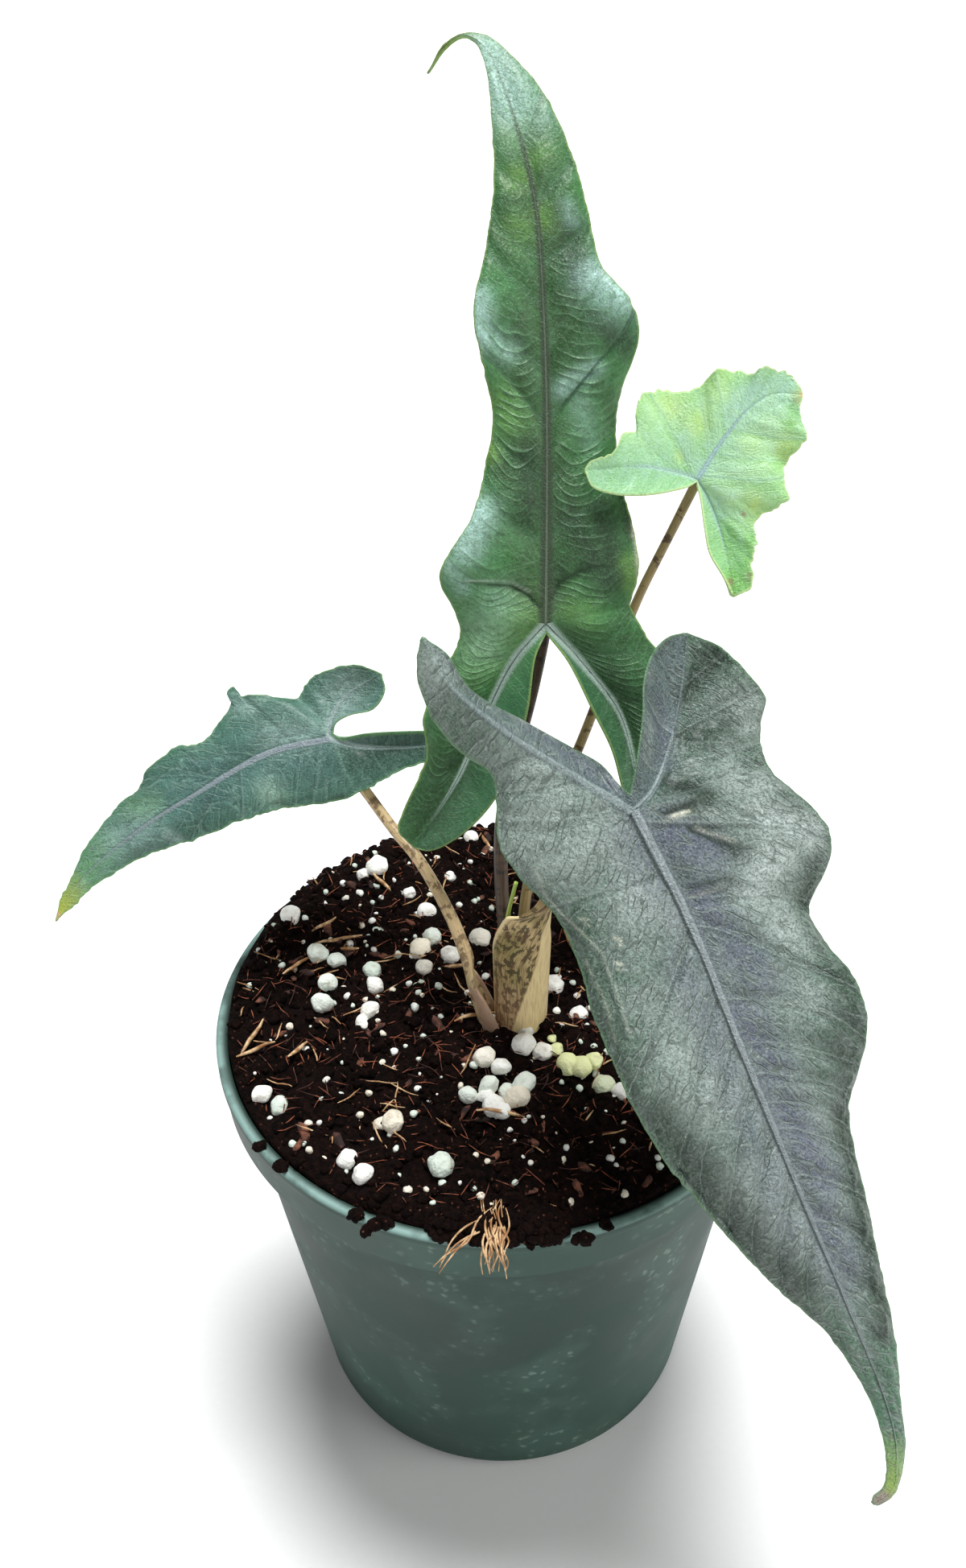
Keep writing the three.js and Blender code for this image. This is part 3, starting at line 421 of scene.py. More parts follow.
LEAF_TALL = {
    "sides": (TALL_LEFT, TALL_RIGHT),
    "joint": (13.4, 28, 239), "along": (0, 0.5, 0.866), "face": (0, -0.866, 0.5),
    "bends": [(-80, 0), (60, 0), (150, 25)], "across": 44, "pitch": 0.52, "bulge": 1.3,
    "midrib": [
        (138, 26, -6), (142.5, 21.5, -2.2), (143.8, 16.8, 0), (139.5, 11.4, 0), (127.5, 7, 0),
        (112, 3, 0), (97.5, 0.5, 0), (57, -1, 0), (20, -0.5, 0), (0, 0, 0),
    ],
    "silver": [
        (140, 12, 124.5, 6, 7, 0.9), (128, 3, 120.5, -1, 4, 0.4), (98.5, -6.5, 95, -8, 2, 0.4),
        (80.5, -13.5, 76, -19, 5, 1), (76.5, 14.5, 67, 14, 3, 0.9), (68, 12.5, 64.5, 8.5, 3, 0.6),
        (55.5, -4.5, 60.5, -12.5, 2.2, 0.7), (27, 15.5, 18.5, 19, 4, 1),
        (15, 23.5, 9.5, 20, 2.5, 0.6), (52, -9, 44, -11, 3, 0.3), (5, 12, -5, 15, 6, 0.35),
    ],
    "shade": [
        (92.5, -6.5, 82, -9, 5, 0.9), (100, 8, 91.5, 12, 4, 0.5), (70, -13, 66, -19.5, 4, 0.9),
        (63, -3, 66, -12, 4, 0.5), (41.5, 4, 26, 4, 4, 1), (40, 12, 38, 10, 4, 0.8),
        (34, -19, 22, -21, 3.5, 1), (26, -14, 10.5, -16, 5.5, 1), (25, -6, 14, -12.5, 5.5, 1),
        (-2, -5, -16, -18, 5, 0.7), (5, -1, 14, -4, 3, 0.8), (1, 2, 9, 4.5, 3, 0.6),
        (-46, 30, -34, 24, 9, 0.9), (-12, -15, -34, -25, 7, 0.8), (72, 6, 55, 2.5, 2.5, 0.5),
        (-3, -6, -10, -14, 3, 0.6),
    ],
    "gold": [
        (105.5, 5, 105, 5, 3.4, 0.55), (117.5, 5.5, 120.5, 5, 4, 0.3), (93, 4.5, 94, 5.5, 4, 0.35),
        (94.5, -1.5, 97.5, -1, 3, 0.4), (110, 0, 111.5, -1, 3, 0.4),
        (14, -20.5, 9, -21.5, 2.5, 0.7), (1.5, 7, -6, 14, 8, 0.45), (3.5, -6.5, 1.5, -10, 4, 0.3),
        (52.5, 10, 49, 9, 5, 0.4), (41, 12, 44, 14, 2.5, 0.6),
    ],
    "stain": [
        (24.5, -21.6, 20.5, -21.6, 0.7, 0.9), (20.5, -21.9, 10, -22.6, 0.6, 0.9),
        (10, -22.6, 5.5, -21.5, 0.5, 0.8),
    ],
    "spots": [(8, 3.9, 10.4, 8.5, 0.25, 0.3), (10.4, 8.5, 11, 19, 0.25, 0.3)],
    "cuts": [
        (4, 1.6, 7, 4, 0.5, 1), (7, 4, 9.4, 8.5, 0.5, 1), (9.4, 8.5, 10, 14, 0.45, 0.9),
        (10, 14, 10.5, 20, 0.4, 0.6), (6, -1.4, 10, -3.4, 0.6, 1), (10, -3.4, 13, -9, 0.5, 0.9),
        (13, -9, 13.5, -14, 0.5, 0.5),
    ],
    "ripples": [
        (66, 8.5, 56, 6, 5, 0.8), (54, 9.5, 41, 7.5, 5.5, 1), (58, -10, 43, -13, 6, 1),
        (41, -6, 36, -12, 5, 0.6), (31, -6, 24, -11, 6, 0.55), (36, 13, 27, 9, 5, 0.35),
        (11, 20, 4, 8, 7, 0.5), (-5, 20, -35, 28, 9, 0.55), (8, -8, 0, -20, 7, 0.5),
        (-5, -12, -30, -26, 9, 0.5), (90, 5, 75, -8, 7, 0.35),
    ],
    "folds": [
        (51, -2, 59, -11.5, 1.6, -0.6), (59, -11.5, 69.5, -21.5, 1.8, -0.5),
        (55.5, -4.5, 60.5, -12.5, 2.4, 0.5), (5, 2.5, 9, 7.5, 1.5, -0.6),
        (9, 7.5, 10, 17, 1.5, -0.5), (8, -1.5, 12, -9, 1.5, -0.6),
        (92.5, -6.5, 85.5, -9.5, 4, -0.8), (84, -11, 75.5, -20.5, 4, 0.6),
    ],
}

FRONT_RIGHT = {
    "margin": [
        (168.9, -3, 0), (168.4, 2, 0), (160.4, 7, 0), (145.5, 10, 0), (130.5, 13, 0),
        (115, 14.5, 0), (102.5, 17, -1), (90, 19.5, -3), (79.5, 22.5, -3), (73.5, 26.5, -1),
        (65, 30, 3), (55, 31.8, 3.5), (43, 30.5, -1), (36, 31.5, -3), (27, 39, 2), (21, 40.5, 4),
        (13, 38.5, 3), (5, 36, 0),
    ],
    "lobe": [
        (-1, 37, -2), (-7.5, 39.5, -1), (-12, 41.5, 2), (-18, 40, 3), (-27, 37, 1), (-33, 31, 0),
    ],
    "vein": [(-2.5, 7, -2), (-9, 15.5, -4), (-19, 24, -4)],
    "inner": [
        (-4, 0.5, 1), (-8.5, 3.5, 3), (-18.5, 9, 6), (-26, 13.5, 5), (-31, 19, 3), (-33.5, 26, 1),
    ],
    "laterals": [
        (0.13, 0.08, 0.3), (0.2, 0.135, 0.5), (0.28, 0.21, 0.6), (0.36, 0.28, 0.7),
        (0.435, 0.35, 0.7), (0.5, 0.41, 0.8), (0.565, 0.47, 0.8), (0.6, 0.505, 0.6),
        (0.64, 0.54, 0.8), (0.68, 0.585, 0.6), (0.74, 0.625, 0.8), (0.84, 0.67, 1),
        (0.875, 0.8, 0.6), (0.985, 0.895, 1),
    ],
    "branches": [(0.05, 0.03, 0.4), (0.28, 0.2, 0.7), (0.5, 0.52, 1), (0.74, 0.76, 0.5)],
}
FRONT_LEFT = {
    "margin": [
        (165.9, -3.7, 0), (165.2, -0.4, 0), (158.5, 2, 0), (149.5, 3, -1), (137, 1.5, -2),
        (125.5, -1.5, -4), (114.5, -7, -6), (102.5, -12.5, -7), (89.5, -17.5, -7), (74.5, -23, -6),
        (60.5, -26, -5), (46, -26.5, -5), (36.5, -26, -6), (24.5, -23.5, -8), (14, -23.5, -9),
        (3, -27.5, -9),
    ],
    "lobe": [
        (-6, -29, -8), (-15, -25.5, -7), (-20.5, -24, -8), (-27.5, -28, -9), (-38, -31.5, -8),
        (-48, -31.5, -4), (-53, -28.5, -2),
    ],
    "vein": [(-13, -9.5, -1), (-27.5, -20.5, 0), (-41.5, -28, 0)],
    "inner": [
        (-4, 0.5, 1), (-7.5, 0, -1), (-13, -0.5, -4), (-18, -3.5, -6), (-28, -11.5, -7),
        (-39, -22, -4), (-48, -25, -1.5),
    ],
    "laterals": [
        (0.13, 0.06, 0.3), (0.25, 0.13, 0.4), (0.34, 0.2, 0.5), (0.42, 0.27, 0.6),
        (0.49, 0.33, 0.6), (0.565, 0.39, 0.8), (0.625, 0.44, 0.7), (0.69, 0.5, 0.8),
        (0.75, 0.54, 0.7), (0.83, 0.69, 1), (0.92, 0.95, 0.6),
    ],
    "branches": [
        (0.04, 0.25, 0.8), (0.24, 0.33, 0.6), (0.43, 0.42, 0.6), (0.62, 0.6, 0.4),
        (0.8, 0.79, 0.4),
    ],
}
LEAF_FRONT = {
    "sides": (FRONT_RIGHT, FRONT_LEFT),
    "joint": (30.3, -30, 226.1), "along": (0.4, -0.66, -0.64), "face": (0.28, -0.57, 0.77),
    "bends": [(-80, 12), (0, 0), (170, 24)], "across": 60, "pitch": 0.64, "bulge": 1.6,
    "midrib": [
        (167.5, -4.5, 0), (167, 1, 0), (160, 4.5, 0), (150, 5.5, 0), (120, 3.5, 0), (95, 1.5, 0),
        (60, 0.5, 0), (27, 1, 0), (0, 0, 0),
    ],
    "silver": [
        (-5, -24.5, 3.5, -17, 8, 0.5), (-21.5, -22, -16.5, -16.5, 5, 0.5), (12, 27, 20, 36, 5, 1),
        (4, 27, 6, 33, 4, 0.7), (-12.5, 37.5, -8, 37, 5, 0.6), (-16, 11.5, -10.5, 8.5, 2, 0.6),
        (36.5, 21.5, 40, 23, 5, 0.7), (21, 26, 26, 18, 6, 0.9), (53, 18, 54, 20, 4, 0.5),
        (51.5, -14.5, 66, -9, 6, 0.6), (84, -8.5, 100, -3, 5, 0.4),
        (-48.5, -29.5, -44, -29, 4, 0.6), (12, -8, 20, -10, 5, 0.4),
    ],
    "shade": [
        (-2.5, 12.5, 3, 17, 3.5, 1), (3, 6.5, 4, 13.5, 1.7, 1), (9, 11, 18, 18, 3, 1),
        (8, 4, 20, 5, 2.2, 0.8), (21.5, 6.5, 23, 12.5, 3, 0.8), (-20, 25.5, -24.5, 34.5, 3, 1),
        (-10.5, 22, -10, 31, 3, 0.9), (2, -27.5, 18, -22, 3.2, 0.9), (18, -22.5, 34, -25, 3, 0.75),
        (34, -25, 62, -25, 2.6, 0.8), (62, -22.5, 79, -17.5, 5, 1),
        (79, -17.5, 95.5, -11.5, 5.4, 1), (95.5, -11.5, 112, -5, 4, 1), (112, -7, 130, -1, 2, 0.8),
        (78, 19.5, 100, 15, 4, 1), (66, 27, 52, 29, 4.5, 0.7), (100, 14, 130, 10, 3.4, 1),
        (74, 22, 62, 23, 5, 0.8), (-15, -24, -10.5, -26.5, 2, 0.5),
        (-49.5, -26, -41, -24.5, 3, 0.5), (26.5, 34, 34, 31, 3.4, 0.9), (43, 28, 38, 30, 3, 0.6),
        (130, 6, 155, 6.5, 3, 0.4), (84, 4, 100, 3, 2.4, 0.4), (30, 6, 36, 9, 2.6, 0.5),
    ],
    "gold": [(4.4, 6, 4.8, 12, 1.1, 0.8)],
    "stain": [
        (2, -1.5, 13.5, -2, 5, 0.5), (7.5, 6, 15, 10.5, 6, 1), (23, 5.5, 31, 7, 5, 1),
        (36, 9, 44, 11, 6, 0.9), (50.5, 3.5, 64.5, 5.5, 5, 1), (73, 5, 91, 8, 5, 1),
        (98, 5, 112, 6, 4.5, 0.8), (-26.5, -12, -7.5, -1, 3, 0.8), (-20.5, 18, -8, 14, 3, 0.8),
        (34.5, -6, 60, -5, 4, 0.5), (60, -6, 100, -4, 3.5, 0.4),
    ],
    "spots": [
        (23.2, -15.6, 23.9, -14.8, 0.3, 0.6), (24.2, -14.4, 25.4, -15.2, 0.25, 0.7),
        (28.3, -17.4, 29.2, -16.6, 0.32, 0.7), (30, -17.6, 30.2, -17.2, 0.3, 0.5),
        (16.5, -19.6, 17.4, -18.4, 0.35, 0.35), (17.8, -19.2, 18.8, -18.6, 0.3, 0.3),
        (4.3, 5.8, 4.8, 12, 0.22, 0.9), (4.4, 7.6, 4.7, 10.4, 0.42, 0.9),
        (2, -24, 8, -24, 0.3, 0.2), (8, -24, 25, -18.8, 0.25, 0.25),
        (25, -18.8, 44, -21.3, 0.22, 0.22), (25, -22, 44, -24.3, 0.22, 0.18),
        (8.5, 11.5, 15, 18.5, 0.4, 0.3), (22, 4, 22.8, 12, 0.35, 0.25),
    ],
    "cuts": [
        (8.5, 10, 16, 17.5, 0.6, 1), (16, 17.5, 18, 21, 0.6, 0.6), (3.2, 6.5, 3.2, 13.5, 0.7, 1),
        (-4, 11, 1.5, 17.5, 0.6, 0.7), (20, 5, 21.5, 12.5, 0.6, 0.6),
        (21.5, 12.5, 24, 16, 0.5, 0.4), (8, -25.5, 26, -20, 0.5, 0.6),
        (26, -20, 44, -22.5, 0.5, 0.5),
    ],
    "ripples": [(110, -2, 70, -12, 8, 0.25), (60, 12, 30, 20, 8, 0.2), (20, 20, 0, 30, 6, 0.25)],
    "folds": [
        (3, 4, 12, 22.5, 1.5, 0.9), (12, 22.5, 20, 32.5, 1.5, 0.6), (12, 14, 17.5, 16.5, 3, -1.1),
        (-2.5, 12.5, 3, 17, 3.5, -1.4), (-20, 25.5, -24.5, 34.5, 4, -1.4),
        (-10.5, 22, -10, 31, 3, -0.9), (28.5, 2, 40.5, 14, 1.4, 0.6),
        (40.5, 14, 53, 25.5, 1.4, 0.4), (33, -1, 48.5, -19.5, 1.4, 0.6),
        (64.5, -23.5, 95.5, -14, 4, -1.2),
    ],
}

LOW_BELOW = {
    "margin": [
        (80, -0.9, -0.5), (73, -2.3, -1), (61, -1.7, -2), (51, -0.2, -3), (41.5, 3, -3),
        (31, 5, -3), (21.5, 8, -3), (12.5, 12, -4), (4, 15.5, -3.5),
    ],
    "lobe": [(-5, 16.5, -3), (-14, 17.5, -2), (-23, 21, -1), (-30, 19.5, -0.5)],
    "vein": [(-4.5, 5, -1), (-12.5, 10.5, -2), (-20.5, 15.5, -1.5)],
    "inner": [(-1.5, -1, 0.5), (-2.5, 1.5, 1), (-9, 5, 2), (-17.5, 10, 2), (-25.5, 15, 1)],
    "laterals": [
        (0.16, 0.06, 0.4), (0.26, 0.15, 0.5), (0.36, 0.23, 0.6), (0.465, 0.32, 0.8),
        (0.57, 0.4, 0.9), (0.655, 0.49, 1), (0.725, 0.67, 1), (0.82, 0.76, 0.4), (0.92, 0.84, 0.7),
        (0.97, 0.9, 0.7),
    ],
    "branches": [(0.04, 0.06, 0.6), (0.3, 0.34, 0.4), (0.6, 0.62, 0.3)],
}
LOW_ABOVE = {
    "margin": [
        (83.8, -3.6, 0), (78, -7.4, 0), (68, -13.6, 0), (56, -18, -1.5), (50, -18.5, -1.5),
        (46.5, -21.4, -0.5), (43, -21.2, 0.5), (36, -21, 2), (29.5, -18.5, 1), (24, -21, -0.5),
        (18.2, -23.2, 0.5), (16.9, -24.4, 0.5), (17, -27, 0.5), (14.6, -27.6, 0.6),
        (14.8, -24.8, 0.7), (13.6, -23.2, 1), (11.6, -22.3, 2), (5, -17, 0.5),
    ],
    "lobe": [(1.5, -15.5, -1), (-4, -18, 0), (-10.5, -16, 2), (-17, -13, 2), (-20.5, -8, 1)],
    "vein": [(-3, -5, -1), (-9, -8.5, -1)],
    "inner": [(-1.5, -1, 0.5), (-4, -2.4, 2), (-8, -1.5, 3), (-14, 0, 2), (-19, -3, 1.5)],
    "laterals": [
        (0.16, 0.08, 0.3), (0.26, 0.14, 0.4), (0.38, 0.22, 0.5), (0.5, 0.32, 0.6),
        (0.65, 0.42, 0.9), (0.78, 0.52, 1), (0.91, 0.9, 0.7),
    ],
    "branches": [(0.08, 0.12, 0.6), (0.4, 0.4, 0.5), (0.7, 0.72, 0.4)],
}
LEAF_LOW = {
    "sides": (LOW_BELOW, LOW_ABOVE),
    "joint": (-42.6, 33, 201.7), "along": (-0.85, -0.31, -0.42), "face": (-0.2, -0.56, 0.81),
    "bends": [(-80, 0), (0, -4), (90, 8)], "across": 42, "pitch": 0.52, "bulge": 1,
    "midrib": [(87, 0, 0), (76, -5, 0), (55, -7.5, 0), (39, -7, 0), (15, -5.5, 0), (0, 0, 0)],
    "silver": [
        (12, -9, 4.5, -4, 5, 0.5), (16, -21.5, 13.5, -19, 3, 0.5), (-9, -9, -5, -3.5, 6, 0.6),
        (54, -7, 62, -9, 5, 0.4), (49.5, -3, 48, 0, 1.5, 0.6), (20, 3.5, 20.5, 2, 3.5, 0.5),
    ],
    "shade": [
        (-18, -11, -12, -11, 6, 0.9), (-4.5, 8, -18, 14.5, 5, 1), (5, -8, 25, -8.5, 2.5, 0.5),
        (60, -3, 40, 0, 2.5, 0.6), (21.5, 6.5, 14.5, 11, 1.2, 0.9), (14.5, 11, 5, 14.5, 1.2, 0.8),
        (37, -1, 39.5, -0.5, 4, 0.3),
    ],
    "gold": [
        (55, -14.5, 49.5, -11.5, 4, 0.4), (20, 4, 20.5, 3, 3, 0.4), (76.5, -4, 65, -9.5, 4, 0.3),
    ],
    "ripples": [(60, -8, 15, -14, 8, 0.4), (40, -2, 10, 4, 6, 0.3)],
    "folds": [(21.5, 6.5, 14.5, 11, 1.5, -0.6), (30, -8, 38, 1, 1.4, -0.3)],
}

SMALL_UPPER = {
    "margin": [
        (33, 2, 0), (31, 8, 1), (28.5, 10.5, 2), (26.5, 10.5, 1), (23, 14.5, 0), (20.5, 17.5, 2),
        (16.5, 17, 0.5), (12, 17.5, 1),
    ],
    "lobe": [
        (8, 21, 1), (3, 23.8, 4), (-1, 21.6, 5), (-4.2, 17.9, 4.5), (-7, 19.4, 6.5),
        (-10.4, 17.2, 8), (-15, 17, 9.2), (-18, 18.2, 9.6), (-20, 17.5, 9.5),
    ],
    "vein": [(-3, 4.5, 1), (-8.5, 10, 4.5)],
    "inner": [
        (-0.5, -0.5, 0), (-3, -0.3, 1.5), (-7, 1.2, 3.5), (-12.6, 4, 6.5), (-18.4, 8.8, 8.5),
        (-21.2, 13.6, 9.3),
    ],
    "laterals": [
        (0.2, 0.12, 0.4), (0.34, 0.26, 0.5), (0.5, 0.42, 0.5), (0.64, 0.76, 0.8),
        (0.84, 0.93, 0.6),
    ],
    "branches": [(0.06, 0.28, 0.8), (0.36, 0.45, 0.5), (0.62, 0.7, 0.4)],
}
SMALL_LOWER = {
    "margin": [
        (29.5, -3, 0), (27.5, -5.5, 0.5), (26, -9.5, 2), (22.5, -10.5, 1), (18.5, -10.5, -1),
        (15, -15, 1), (13, -18.5, 2), (10, -18, 1), (6.5, -16.5, -1),
    ],
    "lobe": [
        (3.5, -17.5, -1), (0, -22, 0), (-3.5, -24.5, 0), (-5, -27, 1), (-9, -28.5, 1),
        (-11.5, -27.5, 0),
    ],
    "vein": [(-0.5, -4, -1), (-2.5, -10.5, -2), (-6, -18, -2)],
    "inner": [(-0.5, -0.5, 0), (-3, -5, 1), (-6.5, -10.5, 2), (-9.5, -16, 2), (-10.5, -22, 1)],
    "laterals": [
        (0.2, 0.1, 0.4), (0.36, 0.2, 0.4), (0.575, 0.3, 1), (0.78, 0.5, 0.6), (0.96, 0.63, 1),
    ],
    "branches": [(0.2, 0.25, 0.6), (0.45, 0.5, 0.6), (0.7, 0.75, 0.4)],
}
LEAF_SMALL = {
    "sides": (SMALL_UPPER, SMALL_LOWER),
    "joint": (50.6, 45.6, 268), "along": (0.78, 0.32, 0.54), "face": (-0.12, -0.77, 0.63),
    "bends": [(-80, 0), (100, 0)], "across": 38, "pitch": 0.42, "bulge": 0.7,
    "midrib": [(32, -1, 0), (26.5, 4, 0), (20, 5, 0), (13.5, 4, 0), (6, 2, 0), (0, 0, 0)],
    "silver": [
        (17, 6, 25, 7.5, 3.5, 0.7), (3, 9.5, 1.5, 4.5, 2, 0.6), (0.5, -5, -1, -10, 2.5, 0.6),
        (-13.5, 11.5, -3, 4, 1.6, 0.5), (29.5, 5, 27.5, 5, 3, 0.5), (1.5, 1, 3, 1.5, 2, 0.7),
        (-5, 9, -17, 15, 7, 0.5),
    ],
    "shade": [
        (28.5, -2, 24.5, -5, 2, 0.7), (17, -10, 21.5, -10, 2, 0.5),
        (0, -19.5, -4, -23.5, 1.6, 0.7), (-9, -25.5, -8, -24.5, 4, 0.9), (-5, 8, -18, 14, 7, 0.6),
        (-2, -14, -6, -20, 4, 0.3),
    ],
    "gold": [
        (0.5, 7, 0, 6.5, 1.4, 0.9), (9.5, 10.5, 8.5, 9.5, 3, 0.7), (6, 18.5, 6, 16.5, 3, 0.7),
        (19, 14.5, 18, 13.5, 3, 0.4), (6.5, -13, 6.5, -14.5, 2, 0.9), (20, -8.5, 21, -8, 2.5, 0.8),
        (15.5, -1, 15.5, -2, 3, 0.4),
    ],
    "stain": [
        (31.5, -0.5, 30.5, -1, 1.2, 1), (3, -13.5, 3, -14, 0.5, 1), (-10, -24, -10, -24.5, 0.8, 1),
        (-5.5, -26, -6, -26.5, 0.7, 0.7),
    ],
}

# How far forward a side vein runs for each millimetre away from the midrib.
SLANT = 0.9

# How each blade is worked, in millimetres, for the tall, the front, the low and the small leaf:
# the nicks of its margin, how wide its midrib stands up, how its upper face swells between its
# veins, and how it wrinkles in nested ripples, in creases between small cells, along its veins
# and its midrib, and inside its margin.
SKINS = {
    "ragged": (0.15, 0.2, 0.35, 0.6),
    "rib_width": (1.1, 1.1, 1, 0.8),
    "puff": (1.0, 1.6, 0.8, 0.6),
    "ripple": (0.4, 0.3, 0.3, 0),
    "ripple_pitch": (2.7, 4.2, 2.8, 2.6),
    "lobe_pitch": (1.7, 3, 2.2, 2.2),
    "crinkle": (0.16, -0.28, -0.15, -0.14),
    "cell": (3, 3.4, 3, 2.6),
    "squeeze": (0.7, 0.55, 0.6, 0.8),
    "rise": (-0.2, 0.3, 0.3, 0.05),
    "ridge": (0.45, 1, 0.5, -0.2),
    "hem": (0, 0.4, 0.1, 0),
}


def blade_frame(leaf):
    along = unit(leaf["along"])
    face = np.array(leaf["face"], float)
    face = unit(face - face.dot(along) * along)
    return along, face, np.cross(face, along)


def blade_map(leaf):
    """Maps flat places to space, along the blade's bent plane."""
    along, face, side = blade_frame(leaf)
    step = 0.25
    u = np.arange(-90, 190, step)
    bend = np.radians(np.interp(u, *zip(*leaf["bends"])))
    half = np.radians(np.interp(u[:-1] + step / 2, *zip(*leaf["bends"])))
    moves = np.cos(half)[:, None] * along - np.sin(half)[:, None] * face
    axis = np.concatenate([np.zeros((1, 3)), np.cumsum(moves * step, axis=0)])
    axis += np.array(leaf["joint"]) - axis[np.argmin(abs(u))]
    up = np.sin(bend)[:, None] * along + np.cos(bend)[:, None] * face

    def to_space(flat):
        base = np.stack([np.interp(flat[:, 0], u, axis[:, k]) for k in range(3)], axis=1)
        lift = np.stack([np.interp(flat[:, 0], u, up[:, k]) for k in range(3)], axis=1)
        return base + flat[:, 1:2] * side + flat[:, 2:3] * lift

    return to_space


def vein_marks(laterals, share, t, length):
    """Which lateral vein is near each place, how wide its strip is, and how strong it is."""
    starts, ends, strengths = np.array(laterals).T
    starts = np.concatenate([[starts[0] - 0.5], starts, [starts[-1] + 0.5]])
    ends = np.concatenate([[ends[0] - 0.5], ends, [ends[-1] + 0.5]])
    strengths = np.concatenate([strengths[:1], strengths, strengths[-1:]])
    count = len(laterals)
    sway = 0.012 * soft_noise(7 * share, 0 * share, count)
    sway = sway + 0.006 * soft_noise(19 * share, 0 * share, 3)
    numbers = np.concatenate([[0.4], np.arange(1, count + 1), [count + 0.6]])
    near = np.zeros((len(share), len(t)))
    strong = np.zeros_like(near)
    for column, at in enumerate(t):
        lines = starts + (ends - starts) * at**1.25
        near[:, column] = np.interp(share + sway * at, lines, numbers)
        strong[:, column] = np.interp(share, lines, strengths)
    strip = length / np.maximum(np.gradient(near, share, axis=0), 3)
    return near, strip, strong


def make_patch(spine, margin, bulge, columns, laterals, part, side):
    """One side of a blade, in rows from the spine to the margin, with what its face needs."""
    t = np.linspace(0, 1, columns + 1)
    share = np.linspace(0, 1, len(spine))
    width = np.hypot(*(margin - spine)[:, :2].T)[:, None]
    place = spine[:, None] * (1 - t[:, None]) + margin[:, None] * t[:, None]
    rise = (margin - spine)[:, None, 2]
    swell = bulge * np.minimum(1, width / 18) * np.sin(math.pi * t)
    place[..., 2] = spine[:, None, 2] + rise * t**1.6 + swell
    length = travelled(spine)[-1] * (1 - t) + travelled(margin)[-1] * t
    near, strip, strong = vein_marks(laterals, share, t, length)
    return {
        "place": place,
        "near": near,
        "strip": strip,
        "strong": strong,
        "margin": (1 - t) * width,
        "spine": t * width,
        "share": np.broadcast_to(share[:, None], near.shape),
        "t": t,
        "part": np.full(near.shape, float(part)),
        "side": np.full(near.shape, float(side)),
        "length": length,
    }


def nicked(margin, spine, depth):
    """A margin with its small nicks and bumps; both its ends stay in place."""
    way = travelled(margin)
    out = (margin - spine)[:, :2]
    out = out / np.maximum(np.hypot(*out.T)[:, None], 1)
    nick = soft_noise(way / 2.4, 0 * way, 61) + 0.6 * soft_noise(way / 1.1, 0 * way, 62)
    nick = nick * smooth(0, 4, way) * smooth(0, 4, way[-1] - way)
    cut = margin.copy()
    cut[:, :2] += depth * nick[:, None] * out
    return cut


def blade_patches(leaf, ragged):
    """A blade's six patches: on each side the main one and both sides of its lobe's vein."""
    tip, joint = leaf["midrib"][0], leaf["midrib"][-1]
    bulge, across, pitch = leaf["bulge"], leaf["across"], leaf["pitch"]
    rows = round(travelled(spaced(leaf["midrib"], 60))[-1] / pitch)
    midrib = spaced(leaf["midrib"], rows)
    patches = []
    for number, side in enumerate(leaf["sides"]):
        outer = [side["margin"][-1], *side["lobe"]]
        end = outer[-1]
        lobe_rows = round(travelled(spaced(outer, 40))[-1] / pitch)
        vein = spaced([joint, *side["vein"], end], lobe_rows)
        margin = nicked(spaced([tip, *side["margin"]], rows), midrib, ragged)
        lobe = nicked(spaced(outer, lobe_rows), vein, ragged)
        inner = spaced([*side["inner"], end], lobe_rows)
        laterals, branches = side["laterals"], side["branches"]
        patches += [
            make_patch(midrib, margin, bulge, across, laterals, 0, number),
            make_patch(vein, lobe, bulge, across, branches, 1, number),
            make_patch(vein, inner, 0, across // 3, branches, 2, number),
        ]
    return patches


def near_lines(u, v, lines):
    """For each place, how near it is to each short line, from 0 to 1, times the line's strength."""
    for u0, v0, u1, v1, reach, strength in lines:
        du, dv = u1 - u0, v1 - v0
        along = np.clip(((u - u0) * du + (v - v0) * dv) / max(du * du + dv * dv, 1e-6), 0, 1)
        off = np.hypot(u - u0 - along * du, v - v0 - along * dv)
        yield strength * bell(off, reach)


def strongest(u, v, lines):
    return np.maximum.reduce([0 * u, *near_lines(u, v, lines)])


def crinkles(u, v, size, squeeze):
    """Fine crests about irregular cells drawn out along the side veins, from 0 to 1."""
    bent_u, bent_v = (
        flat + 1.1 * soft_noise(u / 4, v / 4, seed) + 0.5 * soft_noise(u / 1.7, v / 1.7, seed + 1)
        for flat, seed in ((u - SLANT * abs(v), 51), (v * squeeze, 53))
    )
    gap = cell_gap(bent_u / size, bent_v / size / 0.8, 31)
    return bell(gap, 0.35) * smooth(-0.8, 0.3, soft_noise(u / 7, v / 7, 41))


def ripple_phase(u, v, sag, skin):
    """How many sagging ripples lie below a place. They lie closer together near the lobes."""
    way = u + sag + 1.6 * soft_noise(u / 9, v / 7, 11) + 0.5 * soft_noise(u / 3, v / 3, 12)
    near_pitch, far_pitch = skin["lobe_pitch"], skin["ripple_pitch"]
    return np.minimum(way / far_pitch, 14 / far_pitch + (way - 14) / near_pitch)


# The tints that each place of a blade gets from the leaf's short lines. Some are painted light:
# the silvery sheen in part, the shade in most places, and the dark crease lines.
TINTS = ("silver", "shade", "gold", "stain", "spots", "cuts")


